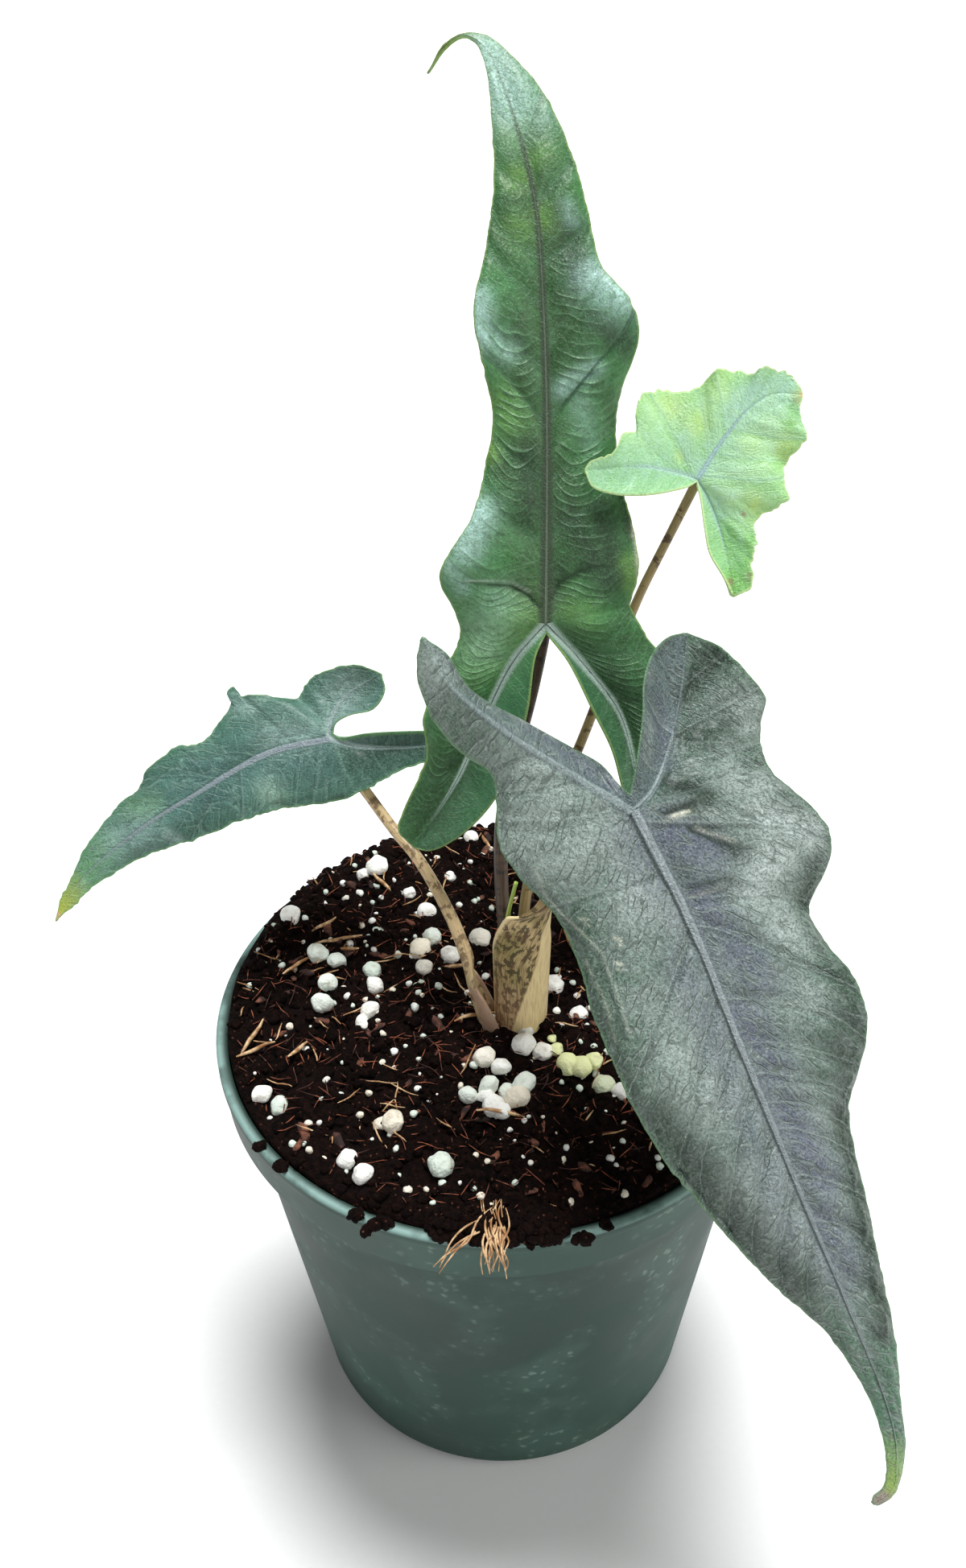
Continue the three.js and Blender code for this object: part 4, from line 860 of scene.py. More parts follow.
def wrinkle(patch, leaf, skin):
    """Adds the face's own relief to a patch and notes its tints and where its ripples run."""
    u, v = patch["place"][..., 0].copy(), patch["place"][..., 1].copy()
    t, width = patch["t"], patch["spine"] + patch["margin"]
    is_main = patch["part"][0, 0] == 0
    full = np.minimum(1, width / 12)
    gap = abs(patch["near"] - np.round(patch["near"])) * patch["strip"]
    ends = patch["share"] * patch["length"]
    rim = smooth(0, 4, patch["length"] - ends) if is_main else smooth(0, 4, ends)
    calm = smooth(0.6, 3.6, patch["spine"]) * smooth(0, 2, patch["margin"]) * rim
    puff = 1 - np.exp(-((gap / 2.4) ** 2) * patch["strong"])
    puff = puff * (0.8 + 0.4 * soft_noise(u / 9, v / 9, 3))
    phase = ripple_phase(u, v, 5.5 * np.sin(math.pi * t**0.9) * full, skin)
    step = phase - np.floor(phase)
    step = np.where(step < 0.24, step / 0.24, (1 - step) / 0.76)
    rippled = 0.08 + strongest(u, v, leaf.get("ripples", []))
    rippled = rippled * smooth(-0.9, 0, soft_noise(u / 5, v / 4, 21)) * calm * (skin["ripple"] > 0)
    for tint in TINTS:
        patch[tint] = strongest(u, v, leaf.get(tint, []))
    # The blade dips a little along the lines of painted crease shade.
    folds = sum(near_lines(u, v, leaf.get("folds", [])), 0 * u) - 0.4 * patch["cuts"]
    hem = bell(patch["margin"] - 2.6, 0.6) * (patch["part"] < 1.5)
    relief = skin["puff"] * (puff - 0.5) + skin["ripple"] * (step - 0.4) * rippled
    crest = crinkles(u, v, skin["cell"], skin["squeeze"])
    relief = relief + skin["crinkle"] * crest * (1 - 0.8 * rippled)
    patch["place"][..., 2] += (relief * calm + skin["hem"] * hem * rim) * full + folds * calm
    patch["gap"] = gap
    patch["phase"] = phase
    patch["rippled"] = rippled
    patch["girth"] = patch["share"] if is_main else 1 - patch["share"]


# The corners of a triangle in the other direction.
FLIP = [0, 2, 1]


def patch_triangles(rows, columns, place):
    """Triangles of a grid, all turned the same way as its flat outline."""
    index = np.arange(rows * columns).reshape(rows, columns)
    a, b = index[:-1, :-1].ravel(), index[:-1, 1:].ravel()
    d, e = index[1:, :-1].ravel(), index[1:, 1:].ravel()
    triangles = np.concatenate([np.stack([a, b, e], 1), np.stack([a, e, d], 1)])
    corners = place.reshape(-1, 3)[triangles][..., :2]
    first, second = corners[:, 1] - corners[:, 0], corners[:, 2] - corners[:, 0]
    turn = (first[:, 0] * second[:, 1] - first[:, 1] * second[:, 0]).sum()
    return triangles if turn > 0 else triangles[:, FLIP]


def point_normals(points, triangles):
    a, b, c = (points[triangles[:, k]] for k in range(3))
    flat = np.cross(b - a, c - a)
    normals = np.zeros_like(points)
    for k in range(3):
        np.add.at(normals, triangles[:, k], flat)
    return normals / np.maximum(np.linalg.norm(normals, axis=1, keepdims=True), 1e-12)


def open_edges(triangles):
    """Edges that only one triangle has, in that triangle's direction."""
    edges = np.concatenate([triangles[:, [0, 1]], triangles[:, [1, 2]], triangles[:, [2, 0]]])
    size = triangles.max() + 1
    here = edges[:, 0] * size + edges[:, 1]
    back = edges[:, 1] * size + edges[:, 0]
    return edges[~np.isin(here, back)]


def weld(patches):
    """All patches as one sheet: its places, its triangles before and after welding, and the first
    place of each welded point."""
    triangles = []
    start = 0
    for patch in patches:
        rows, columns = patch["near"].shape
        triangles.append(patch_triangles(rows, columns, patch["place"]) + start)
        start += rows * columns
    triangles = np.concatenate(triangles)
    flat = np.concatenate([patch["place"].reshape(-1, 3) for patch in patches])
    keys = np.round(flat[:, :2] * 100).astype(int)
    _, first, point = np.unique(keys, axis=0, return_index=True, return_inverse=True)
    welded = point.ravel()[triangles]
    whole = (welded != np.roll(welded, 1, axis=1)).all(axis=1)
    return flat, triangles[whole], welded[whole], first


def blade_skins(middle, welded, at, skin):
    """The upper face with its ridges, and the lower one with its ribs."""
    normals = point_normals(middle, welded)
    half = BLADE_THICKNESS / 2 * (0.55 + 0.45 * smooth(0, 2, at["margin"]))
    reach = 0.35 + 0.65 * at["share"] * (at["part"] == 0) + 0.3 * (at["part"] > 0)
    rib = bell(at["spine"], 1.5 * reach) * reach
    ridge = bell(at["spine"], skin["rib_width"] * reach) * reach
    vein = bell(at["gap"], 0.6) * at["strong"] * smooth(0, 3, at["margin"])
    top = middle + normals * (half + ridge * skin["ridge"] + skin["rise"] * vein)
    under = middle - normals * (half + rib * RIB_DEPTH + 0.3 * vein)
    return np.concatenate([top, under])


# What each face corner of a blade carries for its material, three numbers to a name.
CORNER_VALUES = {
    "vein": ("near", "strip", "strong"),
    "edge": ("margin", "spine", "share"),
    "zone": ("below", "part", "side"),
    "wave": ("phase", "rippled", "cuts"),
    "wash": ("silver", "shade", "gold"),
    "mark": ("stain", "spots", "girth"),
}


def make_blade(name, leaf, skin, material):
    patches = blade_patches(leaf, skin["ragged"])
    for patch in patches:
        wrinkle(patch, leaf, skin)
        patch["below"] = 0 * patch["part"]
    flat, triangles, welded, first = weld(patches)
    carried = {key for names in CORNER_VALUES.values() for key in names} | {"gap"}
    fields = {key: np.concatenate([patch[key].ravel() for patch in patches]) for key in carried}
    at = {key: values[first][:, None] for key, values in fields.items()}
    corners = blade_skins(blade_map(leaf)(flat[first]), welded, at, skin)

    count = len(first)
    a, b = open_edges(welded).T
    faces = np.concatenate([
        welded, welded[:, FLIP] + count,
        np.stack([a, a + count, b + count], 1), np.stack([a, b + count, b], 1),
    ])
    source = np.concatenate([
        triangles, triangles[:, FLIP],
        first[np.stack([a, a, b], 1)], first[np.stack([a, b, b], 1)],
    ]).ravel()
    piece = mesh_object(name, corners, faces, material)
    set_values(piece, "place", flat[source])
    half = triangles.size
    for label, names in CORNER_VALUES.items():
        values = np.stack([fields[key][source] for key in names], 1)
        if names[0] == "below":
            values[half : 2 * half, 0] = 1
        set_values(piece, label, values)
    return piece


# Leaf: a waxy living blade. The wax film gives a broad soft gloss, the tissue under it mottles
# in patches of a centimetre or two, and each vein shows as a line of its own colour. Each row
# gives its value for the tall, the front, the low and the small leaf. Sizes are in millimetres.
# Some tints stand in for light: a sheen that is partly the tissue's own silvery tint, painted shade,
# painted highlights on the lip of each ripple and crease, and painted shade in hollows, creases and
# pores, beside the side veins and along the midrib.
LOOKS = {
    "deep": ("265620", "4a6a58", "285246", "82c07c"),
    "light": ("3a7e3c", "8b9b93", "4a7868", "b8e4a6"),
    "fleck": ("50985c", "9dafa6", "60907f", "bae6c8"),
    # Painted shade where the blade folds or turns away from the light, and in places a darker green of
    # the tissue.
    "shade": ("10340b", "0e3016", "1a4230", "6ab044"),
    "gold": ("84b84c", "98a46c", "8cc07c", "c6e678"),
    # Partly the tissue's own silvery tint, partly a painted sheen on the wax film. The pale specks take
    # the same colour.
    "silver": ("b9dfd6", "c3cfcb", "b4cfc8", "a9d2c8"),
    "stain": ("dcd2c4", "5a6072", "c8a070", "8a6a48"),
    "spots": ("e6efe8", "e8e8d4", "e6efe8", "e6efe8"),
    # Painted highlight on the lip of each ripple and crease.
    "crest": ("90ca94", "a8b8b0", "93b8aa", "c9efb4"),
    "net": ("5f9a66", "90a198", "6f9a8c", "b2e0a4"),
    "vein": ("35502f", "a0b0a8", "86a69c", "7fa98c"),
    "glow": ("659d76", "6a7b74", "5f8a7c", "a2d2ac"),
    "halo": ("26361e", "5c666e", "3c5552", "8fb0b4"),
    "line": ("647a62", "a6b1b2", "a0acb4", "b9d2d6"),
    "lobe_halo": ("a9bfb4", "56646a", "55706c", "a3cabc"),
    "lobe_line": ("3f4f4c", "98a8a6", "9fb4b0", "8fb59c"),
    "inner": ("35694a", "5b6a72", "4b7266", "86bd86"),
    "brim": ("7fa050", "5f8a5c", "6fa262", "c9e09a"),
    "hem": ("3c7a36", "1f4e2a", "3f7a58", "97cf5c"),
    "tip": ("7fae7c", "2f8450", "5f9a58", "a2d4bc"),
    "tip_end": ("67782a", "92ad4e", "b0b83e", "a9cc8a"),
    "hook": ("4a5a1c", "8c8274", "d8ae78", "d6b48c"),
    "under": ("86a67c", "7a8c72", "86a088", "b2d69c"),
    "under_vein": ("a9b894", "8f9c80", "a3b496", "a2c48c"),
    # Painted shade in hollows, creases and pores, beside the side veins and along the midrib.
    "hollow_shade": ("1a3f1c", "22332b", "1b4032", "74b04a"),
    # Which side of each side vein gets the painted shade: the side away from the light.
    "shaded_side": (1, -1, -1, 1),
    "band": (1.4, 1.7, 0.9, 0.7),
    "band_show": (0.85, 0.5, 0.8, 0.8),
    "pore_show": (0.4, 0.65, 0.4, 0.25),
    "band_from": (0.1, 0.1, 0.1, 0.3),
    "line_width": (0.4, 1.15, 1.15, 0.22),
    "shadow_show": (0, 0.8, 0.4, 0),
    "hem_show": (0.25, 0.85, 0.3, 0.35),
    "vein_show": (0.6, 0.42, 0.34, 0.45),
    "crease_show": (0.12, 0.6, 0.3, 0.16),
    # How far the painted highlight of each crease lies beside it, towards the light.
    "lip_side": ((0.3, 0.05, 0), (-0.25, 0.1, 0), (-0.3, -0.35, 0), (0.3, 0.3, 0)),
    "cell": (3, 2.9, 3.4, 2.6),
    "squeeze": (0.7, 0.75, 0.5, 0.7),
    "net_show": (0.1, 0.24, 0.15, 0.25),
    "roughness": (0.42, 0.36, 0.46, 0.46),
    "glow_show": (0.5, 0.2, 0.2, 0.5),
    "hem_reach": (6, 11, 6, 4),
    "flush": ("264012", "70717f", "3f6468", "a6d0bc"),
    "flush_show": (0.62, 0.45, 0.4, 0.5),
    "speck_show": (0.1, 0.35, 0.3, 0.1),
    "grain_show": (0.7, 1.3, 1, 0.6),
    "hook_to": (0.085, 0.035, 0.035, 0.035),
    "line_fade": (0.12, 0.75, 0.7, 0.9),
    "end_to": (0.12, 0.12, 0.16, 0.12),
}


def blade_sockets(tree, place):
    """Sockets for everything that the corners of a blade carry, by name."""
    at = {"place": place}
    for label, names in CORNER_VALUES.items():
        source = add(tree, "ShaderNodeAttribute", out="Vector", attribute_name=label)
        at.update(zip(names, add(tree, "ShaderNodeSeparateXYZ", {0: source}, out=EVERY)))
    return at


def add_mottling(tree, at, look):
    """Mottling of the tissue, from patches of a centimetre or two down to a fine pale grain and to
    pores, which are pits painted dark as shade.
    """
    place = at["place"]
    at["clouds"] = mottle(tree, place, 15, 3, span(0.35, 0.65))
    at["faint"] = product(tree, at["clouds"], 0.3)
    at["flecks"] = mottle(tree, place, 3.2, 4, span(0.5, 0.72, 0, 0.6))
    at["broken"] = mottle(tree, place, 1.6, 5, span(0.34, 0.6, 0.5, 1), 0.65)
    at["pale_grain"] = mottle(tree, place, 0.7, 2, span(0.45, 0.75, 0, 0.3))
    at["pores"] = mottle(tree, place, 0.6, 3, span(0.5, 0.72, 0, look["pore_show"]), 0.7)
    at["patchy"] = mottle(tree, place, 5, 1, span(0.38, 0.58))
    specks = spots(tree, place, 1.6, 0.08, 0.17, look["speck_show"])
    at["specks"] = product(tree, specks, at["patchy"])


def add_creases(tree, at, look):
    """Creases between the cells of the tissue, painted dark as shade, each with a lip beside it on
    the side of the light, painted pale as a highlight, and a finer net in them. Where shade is
    painted, the lip and the net fade. The cells are drawn out along the side veins, which slant
    forward from the midrib."""
    u, v = add(tree, "ShaderNodeSeparateXYZ", {0: at["place"]}, out=slice(0, 2))
    aside = add(tree, "ShaderNodeMath", {0: v}, operation="ABSOLUTE")
    aside = product(tree, aside, SLANT)
    forward = add(tree, "ShaderNodeMath", {0: u, 1: aside}, operation="SUBTRACT")
    across = product(tree, v, look["squeeze"])
    drawn = add(tree, "ShaderNodeCombineXYZ", {0: forward, 1: across})
    warp = {"Vector": at["place"], "Scale": 0.3, "Detail": 3}
    warp = add(tree, "ShaderNodeTexNoise", warp, out="Color")
    bent = add(tree, "ShaderNodeVectorMath", {0: warp, 1: (2, 2, 0)}, operation="MULTIPLY")
    bent = add(tree, "ShaderNodeVectorMath", {0: drawn, 1: bent}, operation="ADD")
    beside = add(tree, "ShaderNodeVectorMath", {0: bent, 1: look["lip_side"]}, operation="ADD")
    # Less painted highlight and net where shade is painted.
    bare = add(tree, "ShaderNodeMapRange", {"Value": at["shade"], **span(0, 1, 1, 0.3)})
    crease = cell_lines(tree, bent, look["cell"], 0.09)
    lip = cell_lines(tree, beside, look["cell"], 0.12)
    net = cell_lines(tree, bent, look["cell"] / 2.6, 0.16)
    at["creased"] = product(tree, crease, at["patchy"], look["crease_show"])
    at["lipped"] = product(tree, lip, at["patchy"], bare, look["crease_show"])
    at["thin"] = product(tree, net, bare, look["net_show"])


def add_ripples(tree, at):
    """Sagging ripples: each lip painted pale as a highlight, and painted shade under it."""
    step = add(tree, "ShaderNodeMath", {0: at["phase"]}, operation="FRACT")
    rise = add(tree, "ShaderNodeMapRange", {"Value": step, **span(0.15, 0.25)}, **SOFT)
    fall = add(tree, "ShaderNodeMapRange", {"Value": step, **span(0.25, 0.5, 1, 0)})
    fall = add(tree, "ShaderNodeMath", {0: fall, 1: 2}, operation="POWER")
    at["ripple"] = product(tree, rise, fall, at["rippled"])
    at["lips"] = product(tree, at["ripple"], 0.48)
    hollow_shade = add(tree, "ShaderNodeMath", {0: at["phase"], 1: 0.05}, operation="SUBTRACT")
    hollow_shade = add(tree, "ShaderNodeMath", {0: hollow_shade, 1: 0.5}, operation="PINGPONG")
    hollow_shade = add(
        tree, "ShaderNodeMapRange", {"Value": hollow_shade, **span(0.02, 0.18, 0.36, 0)}, **SOFT,
    )
    at["ripple_shade"] = product(tree, hollow_shade, at["rippled"])


def add_side_veins(tree, at, look):
    """Lateral veins: a thin line in a wider glow, and painted shade beside each one, on the side
    away from the light."""
    gap = add(tree, "ShaderNodeMath", {0: at["near"], 1: 0.5}, operation="PINGPONG")
    gap = product(tree, gap, at["strip"])
    shown = product(tree, at["strong"], look["vein_show"])
    signed = add(tree, "ShaderNodeMath", {0: at["near"], 1: 0.5}, operation="ADD")
    signed = add(tree, "ShaderNodeMath", {0: signed}, operation="FRACT")
    signed = add(tree, "ShaderNodeMath", {0: signed, 1: 0.5}, operation="SUBTRACT")
    signed = product(tree, signed, at["strip"], look["shaded_side"])
    dip_shade = add(tree, "ShaderNodeMath", {0: signed, 1: 0.9}, operation="SUBTRACT")
    dip_shade = add(tree, "ShaderNodeMath", {0: dip_shade}, operation="ABSOLUTE")
    for name, value, ends in (
        ("glow", gap, span(0, 1.7, look["glow_show"], 0)),
        ("vein", gap, span(0.1, 0.4, 1, 0)),
        ("dip_shade", dip_shade, span(0.2, 0.9, 0.7, 0)),
    ):
        amount = add(tree, "ShaderNodeMapRange", {"Value": value, **ends}, **SOFT)
        at[name] = product(tree, amount, shown)


def add_midrib(tree, at, look):
    """Midrib and lobe veins: a band with a line along it, both thinner away from the joint."""
    at["lobe"] = add(tree, "ShaderNodeMath", {0: at["part"], 1: 0.5}, operation="GREATER_THAN")
    at["main"] = add(tree, "ShaderNodeMath", {0: 1, 1: at["lobe"]}, operation="SUBTRACT")
    girth = add(tree, "ShaderNodeMapRange", {"Value": at["girth"], **span(0, 1, 0.15, 1)})
    ratio = add(tree, "ShaderNodeMath", {0: at["spine"], 1: girth}, operation="DIVIDE")
    stria = add(tree, "ShaderNodeMath", {0: at["spine"], 1: 0.24}, operation="PINGPONG")
    wide, start, thin = look["band"], look["band_from"], look["line_width"]
    begun = add(tree, "ShaderNodeMapRange", {"Value": at["girth"], **span(start, start + 0.25)})
    fading = span(0.05, look["line_fade"], 0.2, 1)
    fading = add(tree, "ShaderNodeMapRange", {"Value": at["girth"], **fading})
    shadow = add(tree, "ShaderNodeMapRange", {"Value": ratio, **span(thin * 0.9, thin * 1.05)})
    band, line, stria, away = (
        add(tree, "ShaderNodeMapRange", {"Value": value, **ends}, **SOFT) for value, ends in (
            (ratio, span(wide * 0.6, wide * 1.6 + 0.2, look["band_show"], 0)),
            (ratio, span(thin * 0.6, thin * 1.2, 0.85, 0)),
            (stria, span(0.02, 0.14, 0.6, 0)),
            (ratio, span(thin * 1.3, thin * 1.9, 1, 0)),
        )
    )
    at["band"] = product(tree, band, begun)
    at["line"] = product(tree, line, fading)
    at["stria"] = product(tree, stria, at["line"])
    at["shadow"] = product(tree, shadow, away, at["side"], look["shadow_show"])


def add_ends(tree, at, look):
    """A flush beside the midrib, and the blade's tip, hook, hem and brim."""
    for name, source, ends, style in (
        ("flush", "spine", span(1, 15, look["flush_show"], 0), SOFT),
        ("old", "share", span(0.02, 0.34, 0.95, 0), {}),
        ("end", "share", span(0.03, look["end_to"], 0.95, 0), {}),
        ("hook", "share", span(look["hook_to"] * 0.6, look["hook_to"], 1, 0), {}),
        ("brim", "margin", span(0.15, 0.6, 0.7, 0), SOFT),
        ("hem", "margin", span(1, look["hem_reach"], look["hem_show"], 0), SOFT),
    ):
        at[name] = add(tree, "ShaderNodeMapRange", {"Value": at[source], **ends}, **style)
    at["flush"] = product(tree, at["flush"], at["main"])
    inside = add(tree, "ShaderNodeMath", {0: at["part"], 1: 1.5}, operation="GREATER_THAN")
    at["inside"] = product(tree, inside, 0.7)


# The tints of a blade from the ground up: the amounts that multiply to a tint's own, and its
# place in the look. Several are painted light: the sheen in part, painted shade in patches, in
# hollows, creases and pores, beside the side veins and along the midrib, and painted highlights
# on the lip of each ripple and crease. The underside is paler, and its veins are paler still.
UPPER_LAYERS = [
    ("clouds", "light"), ("flecks", "fleck"), ("flush", "flush"), ("hem", "hem"),
    ("inside", "inner"), ("main old", "tip"), ("shade", "shade"), ("gold broken", "gold"),
    ("glow", "glow"), ("silver broken", "silver"), ("stain", "stain"), ("pale_grain", "fleck"),
    ("pores", "hollow_shade"), ("ripple_shade", "hollow_shade"), ("lips", "crest"), ("thin", "net"),
    ("specks", "silver"), ("lipped", "crest"), ("creased", "hollow_shade"), ("dip_shade", "hollow_shade"),
    ("cuts", "hollow_shade"), ("vein", "vein"), ("main band", "halo"), ("lobe band", "lobe_halo"),
    ("main line", "line"), ("main stria", "halo"), ("main shadow", "hollow_shade"),
    ("lobe line", "lobe_line"), ("main end", "tip_end"), ("main hook", "hook"),
    ("brim", "brim"), ("spots", "spots"),
]
UNDER_LAYERS = [
    ("faint", "under_vein"), ("thin", "under_vein"), ("glow", "under_vein"),
    ("vein", "under_vein"), ("line", "under_vein"), ("main end", "tip_end"),
]


def named_layers(tree, at, look, layers):
    """Amounts and tints for layers that are given by name."""
    return [
        (product(tree, *(at[name] for name in names.split())), look[tint]) for names, tint in layers
    ]


def leaf_relief(tree, at, look):
    """Relief too fine for the mesh: ripples' lips, the creases, and a grain of half a
    millimetre."""
    grain = {"Vector": at["place"], "Scale": 1 / 0.5, "Detail": 2}
    grain = add(tree, "ShaderNodeTexNoise", grain)
    height = product(tree, grain, look["grain_show"])
    height = add(tree, "ShaderNodeMath", {0: at["ripple"], 1: height}, operation="ADD")
    for name, operation in (("creased", "SUBTRACT"), ("lipped", "ADD"), ("pores", "SUBTRACT")):
        height = add(tree, "ShaderNodeMath", {0: height, 1: at[name]}, operation=operation)
    return add(tree, "ShaderNodeBump", {"Height": height, "Strength": 1, "Distance": 0.0004})


def leaf_material(name, look):
    """The tinted tissue of a blade under its wax film."""
    material, tree, place = new_material(name, "place")
    at = blade_sockets(tree, place)
    add_mottling(tree, at, look)
    add_creases(tree, at, look)
    add_ripples(tree, at)
    add_side_veins(tree, at, look)
    add_midrib(tree, at, look)
    add_ends(tree, at, look)
    upper = layered(tree, look["deep"], named_layers(tree, at, look, UPPER_LAYERS))
    lower = layered(tree, look["under"], named_layers(tree, at, look, UNDER_LAYERS))
    rough = look["roughness"]
    gloss = add(
        tree, "ShaderNodeMapRange", {"Value": at["flecks"], **span(0, 1, rough, rough + 0.15)},
    )
    surface(tree, {
        "Base Color": layered(tree, upper, [(at["below"], lower)]), "Roughness": gloss,
        "Normal": leaf_relief(tree, at, look),
        "IOR": 1.5, "Coat Weight": 0.2, "Coat Roughness": 0.3,
    })
    return material


# Stalks.
# Half the corners of a stalk's ring: a round one, and one that grows out of a clasping base.
ROUND_HALF = 12
CLASP_HALF = 28
RING_STEPS = 6


def round_ring(centre, side, out, radius, half):
    angle = (np.arange(2 * half) + 0.5) / half * math.pi - math.pi
    return centre + radius * (np.cos(angle)[:, None] * side - np.sin(angle)[:, None] * out)


def clasp_ring(centre, radius, thick, keel, start, end, half):
    """An arc about the crown, thick at its keel and thin at both margins."""
    angle = np.linspace(start, end, half)
    reach = np.where(angle < keel, keel - start, end - keel)
    share = np.minimum(1, abs(angle - keel) / np.maximum(reach, 1e-6))
    depth = np.maximum(0.75, thick * np.sqrt(1 - 0.8 * share))
    turn = np.radians(angle)
    out = np.stack([np.sin(turn), -np.cos(turn), 0 * turn], 1)
    return np.concatenate([centre + radius * out, (centre + (radius - depth)[:, None] * out)[::-1]])


def stalk_rings(route, steps, start_radius, end_radius, out, half):
    places = spaced(route, steps)
    rings = []
    for k, centre in enumerate(places):
        share = k / steps
        tangent = unit(places[min(k + 1, steps)] - places[max(k - 1, 0)])
        facing = unit(np.array(out) - np.dot(out, tangent) * tangent)
        side = np.cross(tangent, facing)
        swell = 1 + 0.12 * smooth(0.9, 1, share)
        radius = (start_radius + (end_radius - start_radius) * share**0.7) * swell
        rings.append(round_ring(centre, side, facing, radius, half))
    return rings


def route_to(leaf, radius, route):
    """Closes a route where the stalk meets its blade, just under the rib."""
    joint = np.array(leaf["joint"], float)
    face = blade_frame(leaf)[1]
    arrival = unit(joint - route[-1])
    slant = math.sqrt(1 - arrival.dot(face) ** 2)
    depth = 0.4 + RIB_DEPTH + 0.1 + radius * slant * 0.6
    return [*route, tuple(joint - face * depth)]


# Where each stalk runs, from its foot up, in millimetres.
STALK_TALL = [
    (3.4, -8.4, STALK_FOOT), (3.2, -7.8, 142), (2.4, -5, 162), (1.3, 0.5, 180), (1.9, 8, 195),
    (5.2, 16, 207), (9.4, 24, 219), (12, 28.5, 229),
]
STALK_SMALL = [
    (6.8, -5, STALK_FOOT), (6.6, -4, 145), (6.8, -1, 168), (8.8, 3.5, 180), (11.6, 8, 187.5),
    (16.6, 14, 198), (22.4, 21, 208.5), (29.6, 30, 224), (37, 37.4, 240.5), (44, 42.6, 253.6),
]
STALK_LOW = [
    (-7.8, -7.9, 161), (-10.3, -3.8, 167.2), (-14.3, 2.5, 173.2), (-20.4, 11, 179.6), (-26.2, 18, 183),
    (-34, 26.5, 190), (-38.6, 30.5, 194.6),
]
STALK_FRONT = [(13.4, -12.6, 187.5), (15.4, -13.6, 193), (19.4, -16.4, 201), (25.4, -22.8, 214.5)]
NEW_SHOOT = [
    (4.8, -12.2, STALK_FOOT), (4, -12, 150), (1.8, -9.4, 168), (2.6, -8.8, 176), (4.8, -8.2, 187),
]


def rings_of_low():
    """The low leaf's stalk: its base clasps the crown from the left."""
    rings = []
    for z, radius, start, end in (
        (STALK_FOOT, 4.6, -185, 20), (142, 4.5, -185, 18), (149, 4, -180, 8), (155, 3.1, -172, -10),
    ):
        centre = np.array((radius - 5.7 - 0.2 * max(0, z - 142), -10.8 + 0.1 * max(0, z - 142), z))
        rings.append(clasp_ring(centre, radius, 2.1, -95, start, end, CLASP_HALF))
    route = route_to(LEAF_LOW, 1.5, STALK_LOW)
    return rings + stalk_rings(route, 13, 1.75, 1.35, (-0.9, -0.4, 0.2), CLASP_HALF)


def rings_of_front():
    """The front leaf's stalk: its base is a hood that wraps the front of the crown. The left
    margin ends in a round top, the right one in a lower point."""
    hood_foot, hood_top = 167, 184
    rings = []
    for z in (STALK_FOOT, 142, 153, 163, 166, 169, 171.5, 174, 176, 178, 179.6, 181.2, 182.4, 183.4):
        rise = max(0, (z - hood_foot) / (hood_top - hood_foot))
        keel = 12 + 46 * smooth(140, hood_top, z)
        left = keel - 12 - (keel - 12 + 84) * (1 - 0.42 * rise) * (1 - rise**30)
        right = max(keel + 12, min(84, 84 - 2.2 * max(0, z - 168)))
        lean = 0.035 * max(0, z - 142)
        centre = np.array((5.8 + lean * 0.3, -9.5, z))
        rings.append(clasp_ring(centre, 6.9 + lean * 0.6, 1.9, keel, left, right, CLASP_HALF))
    route = route_to(LEAF_FRONT, 1.8, STALK_FRONT)
    return rings + stalk_rings(route, 10, 1.9, 1.6, (0.7, -0.7, -0.2), CLASP_HALF)


def make_stalk(name, rings, material):
    """Skins the rings and notes, for each corner, the way along and the way from both margins."""
    rings = through(rings, RING_STEPS)
    count, size = rings.shape[:2]
    half = size // 2
    k = np.arange(half - 1)
    foot = np.stack([k, size - 1 - k, size - 2 - k, k + 1], 1)
    top = np.stack([k, k + 1, size - 2 - k, size - 1 - k], 1) + (count - 1) * size
    faces = np.concatenate([ring_faces(0, count, size), foot, top])
    piece = mesh_object(name, rings.reshape(-1, 3), faces, material)
    spread = np.linalg.norm(rings - np.roll(rings, 1, axis=1), axis=2)
    outer = np.cumsum(spread[:, :half], axis=1) - spread[:, :1]
    back = outer[:, -1:] - outer
    ways = np.zeros((count, size, 3))
    ways[..., 0] = travelled(rings.mean(axis=1))[:, None]
    ways[:, :half, 1], ways[:, :half, 2] = outer, back
    ways[:, half:, 1], ways[:, half:, 2] = outer[:, ::-1], back[:, ::-1]
    set_values(piece, "way", ways, "POINT")
    return piece


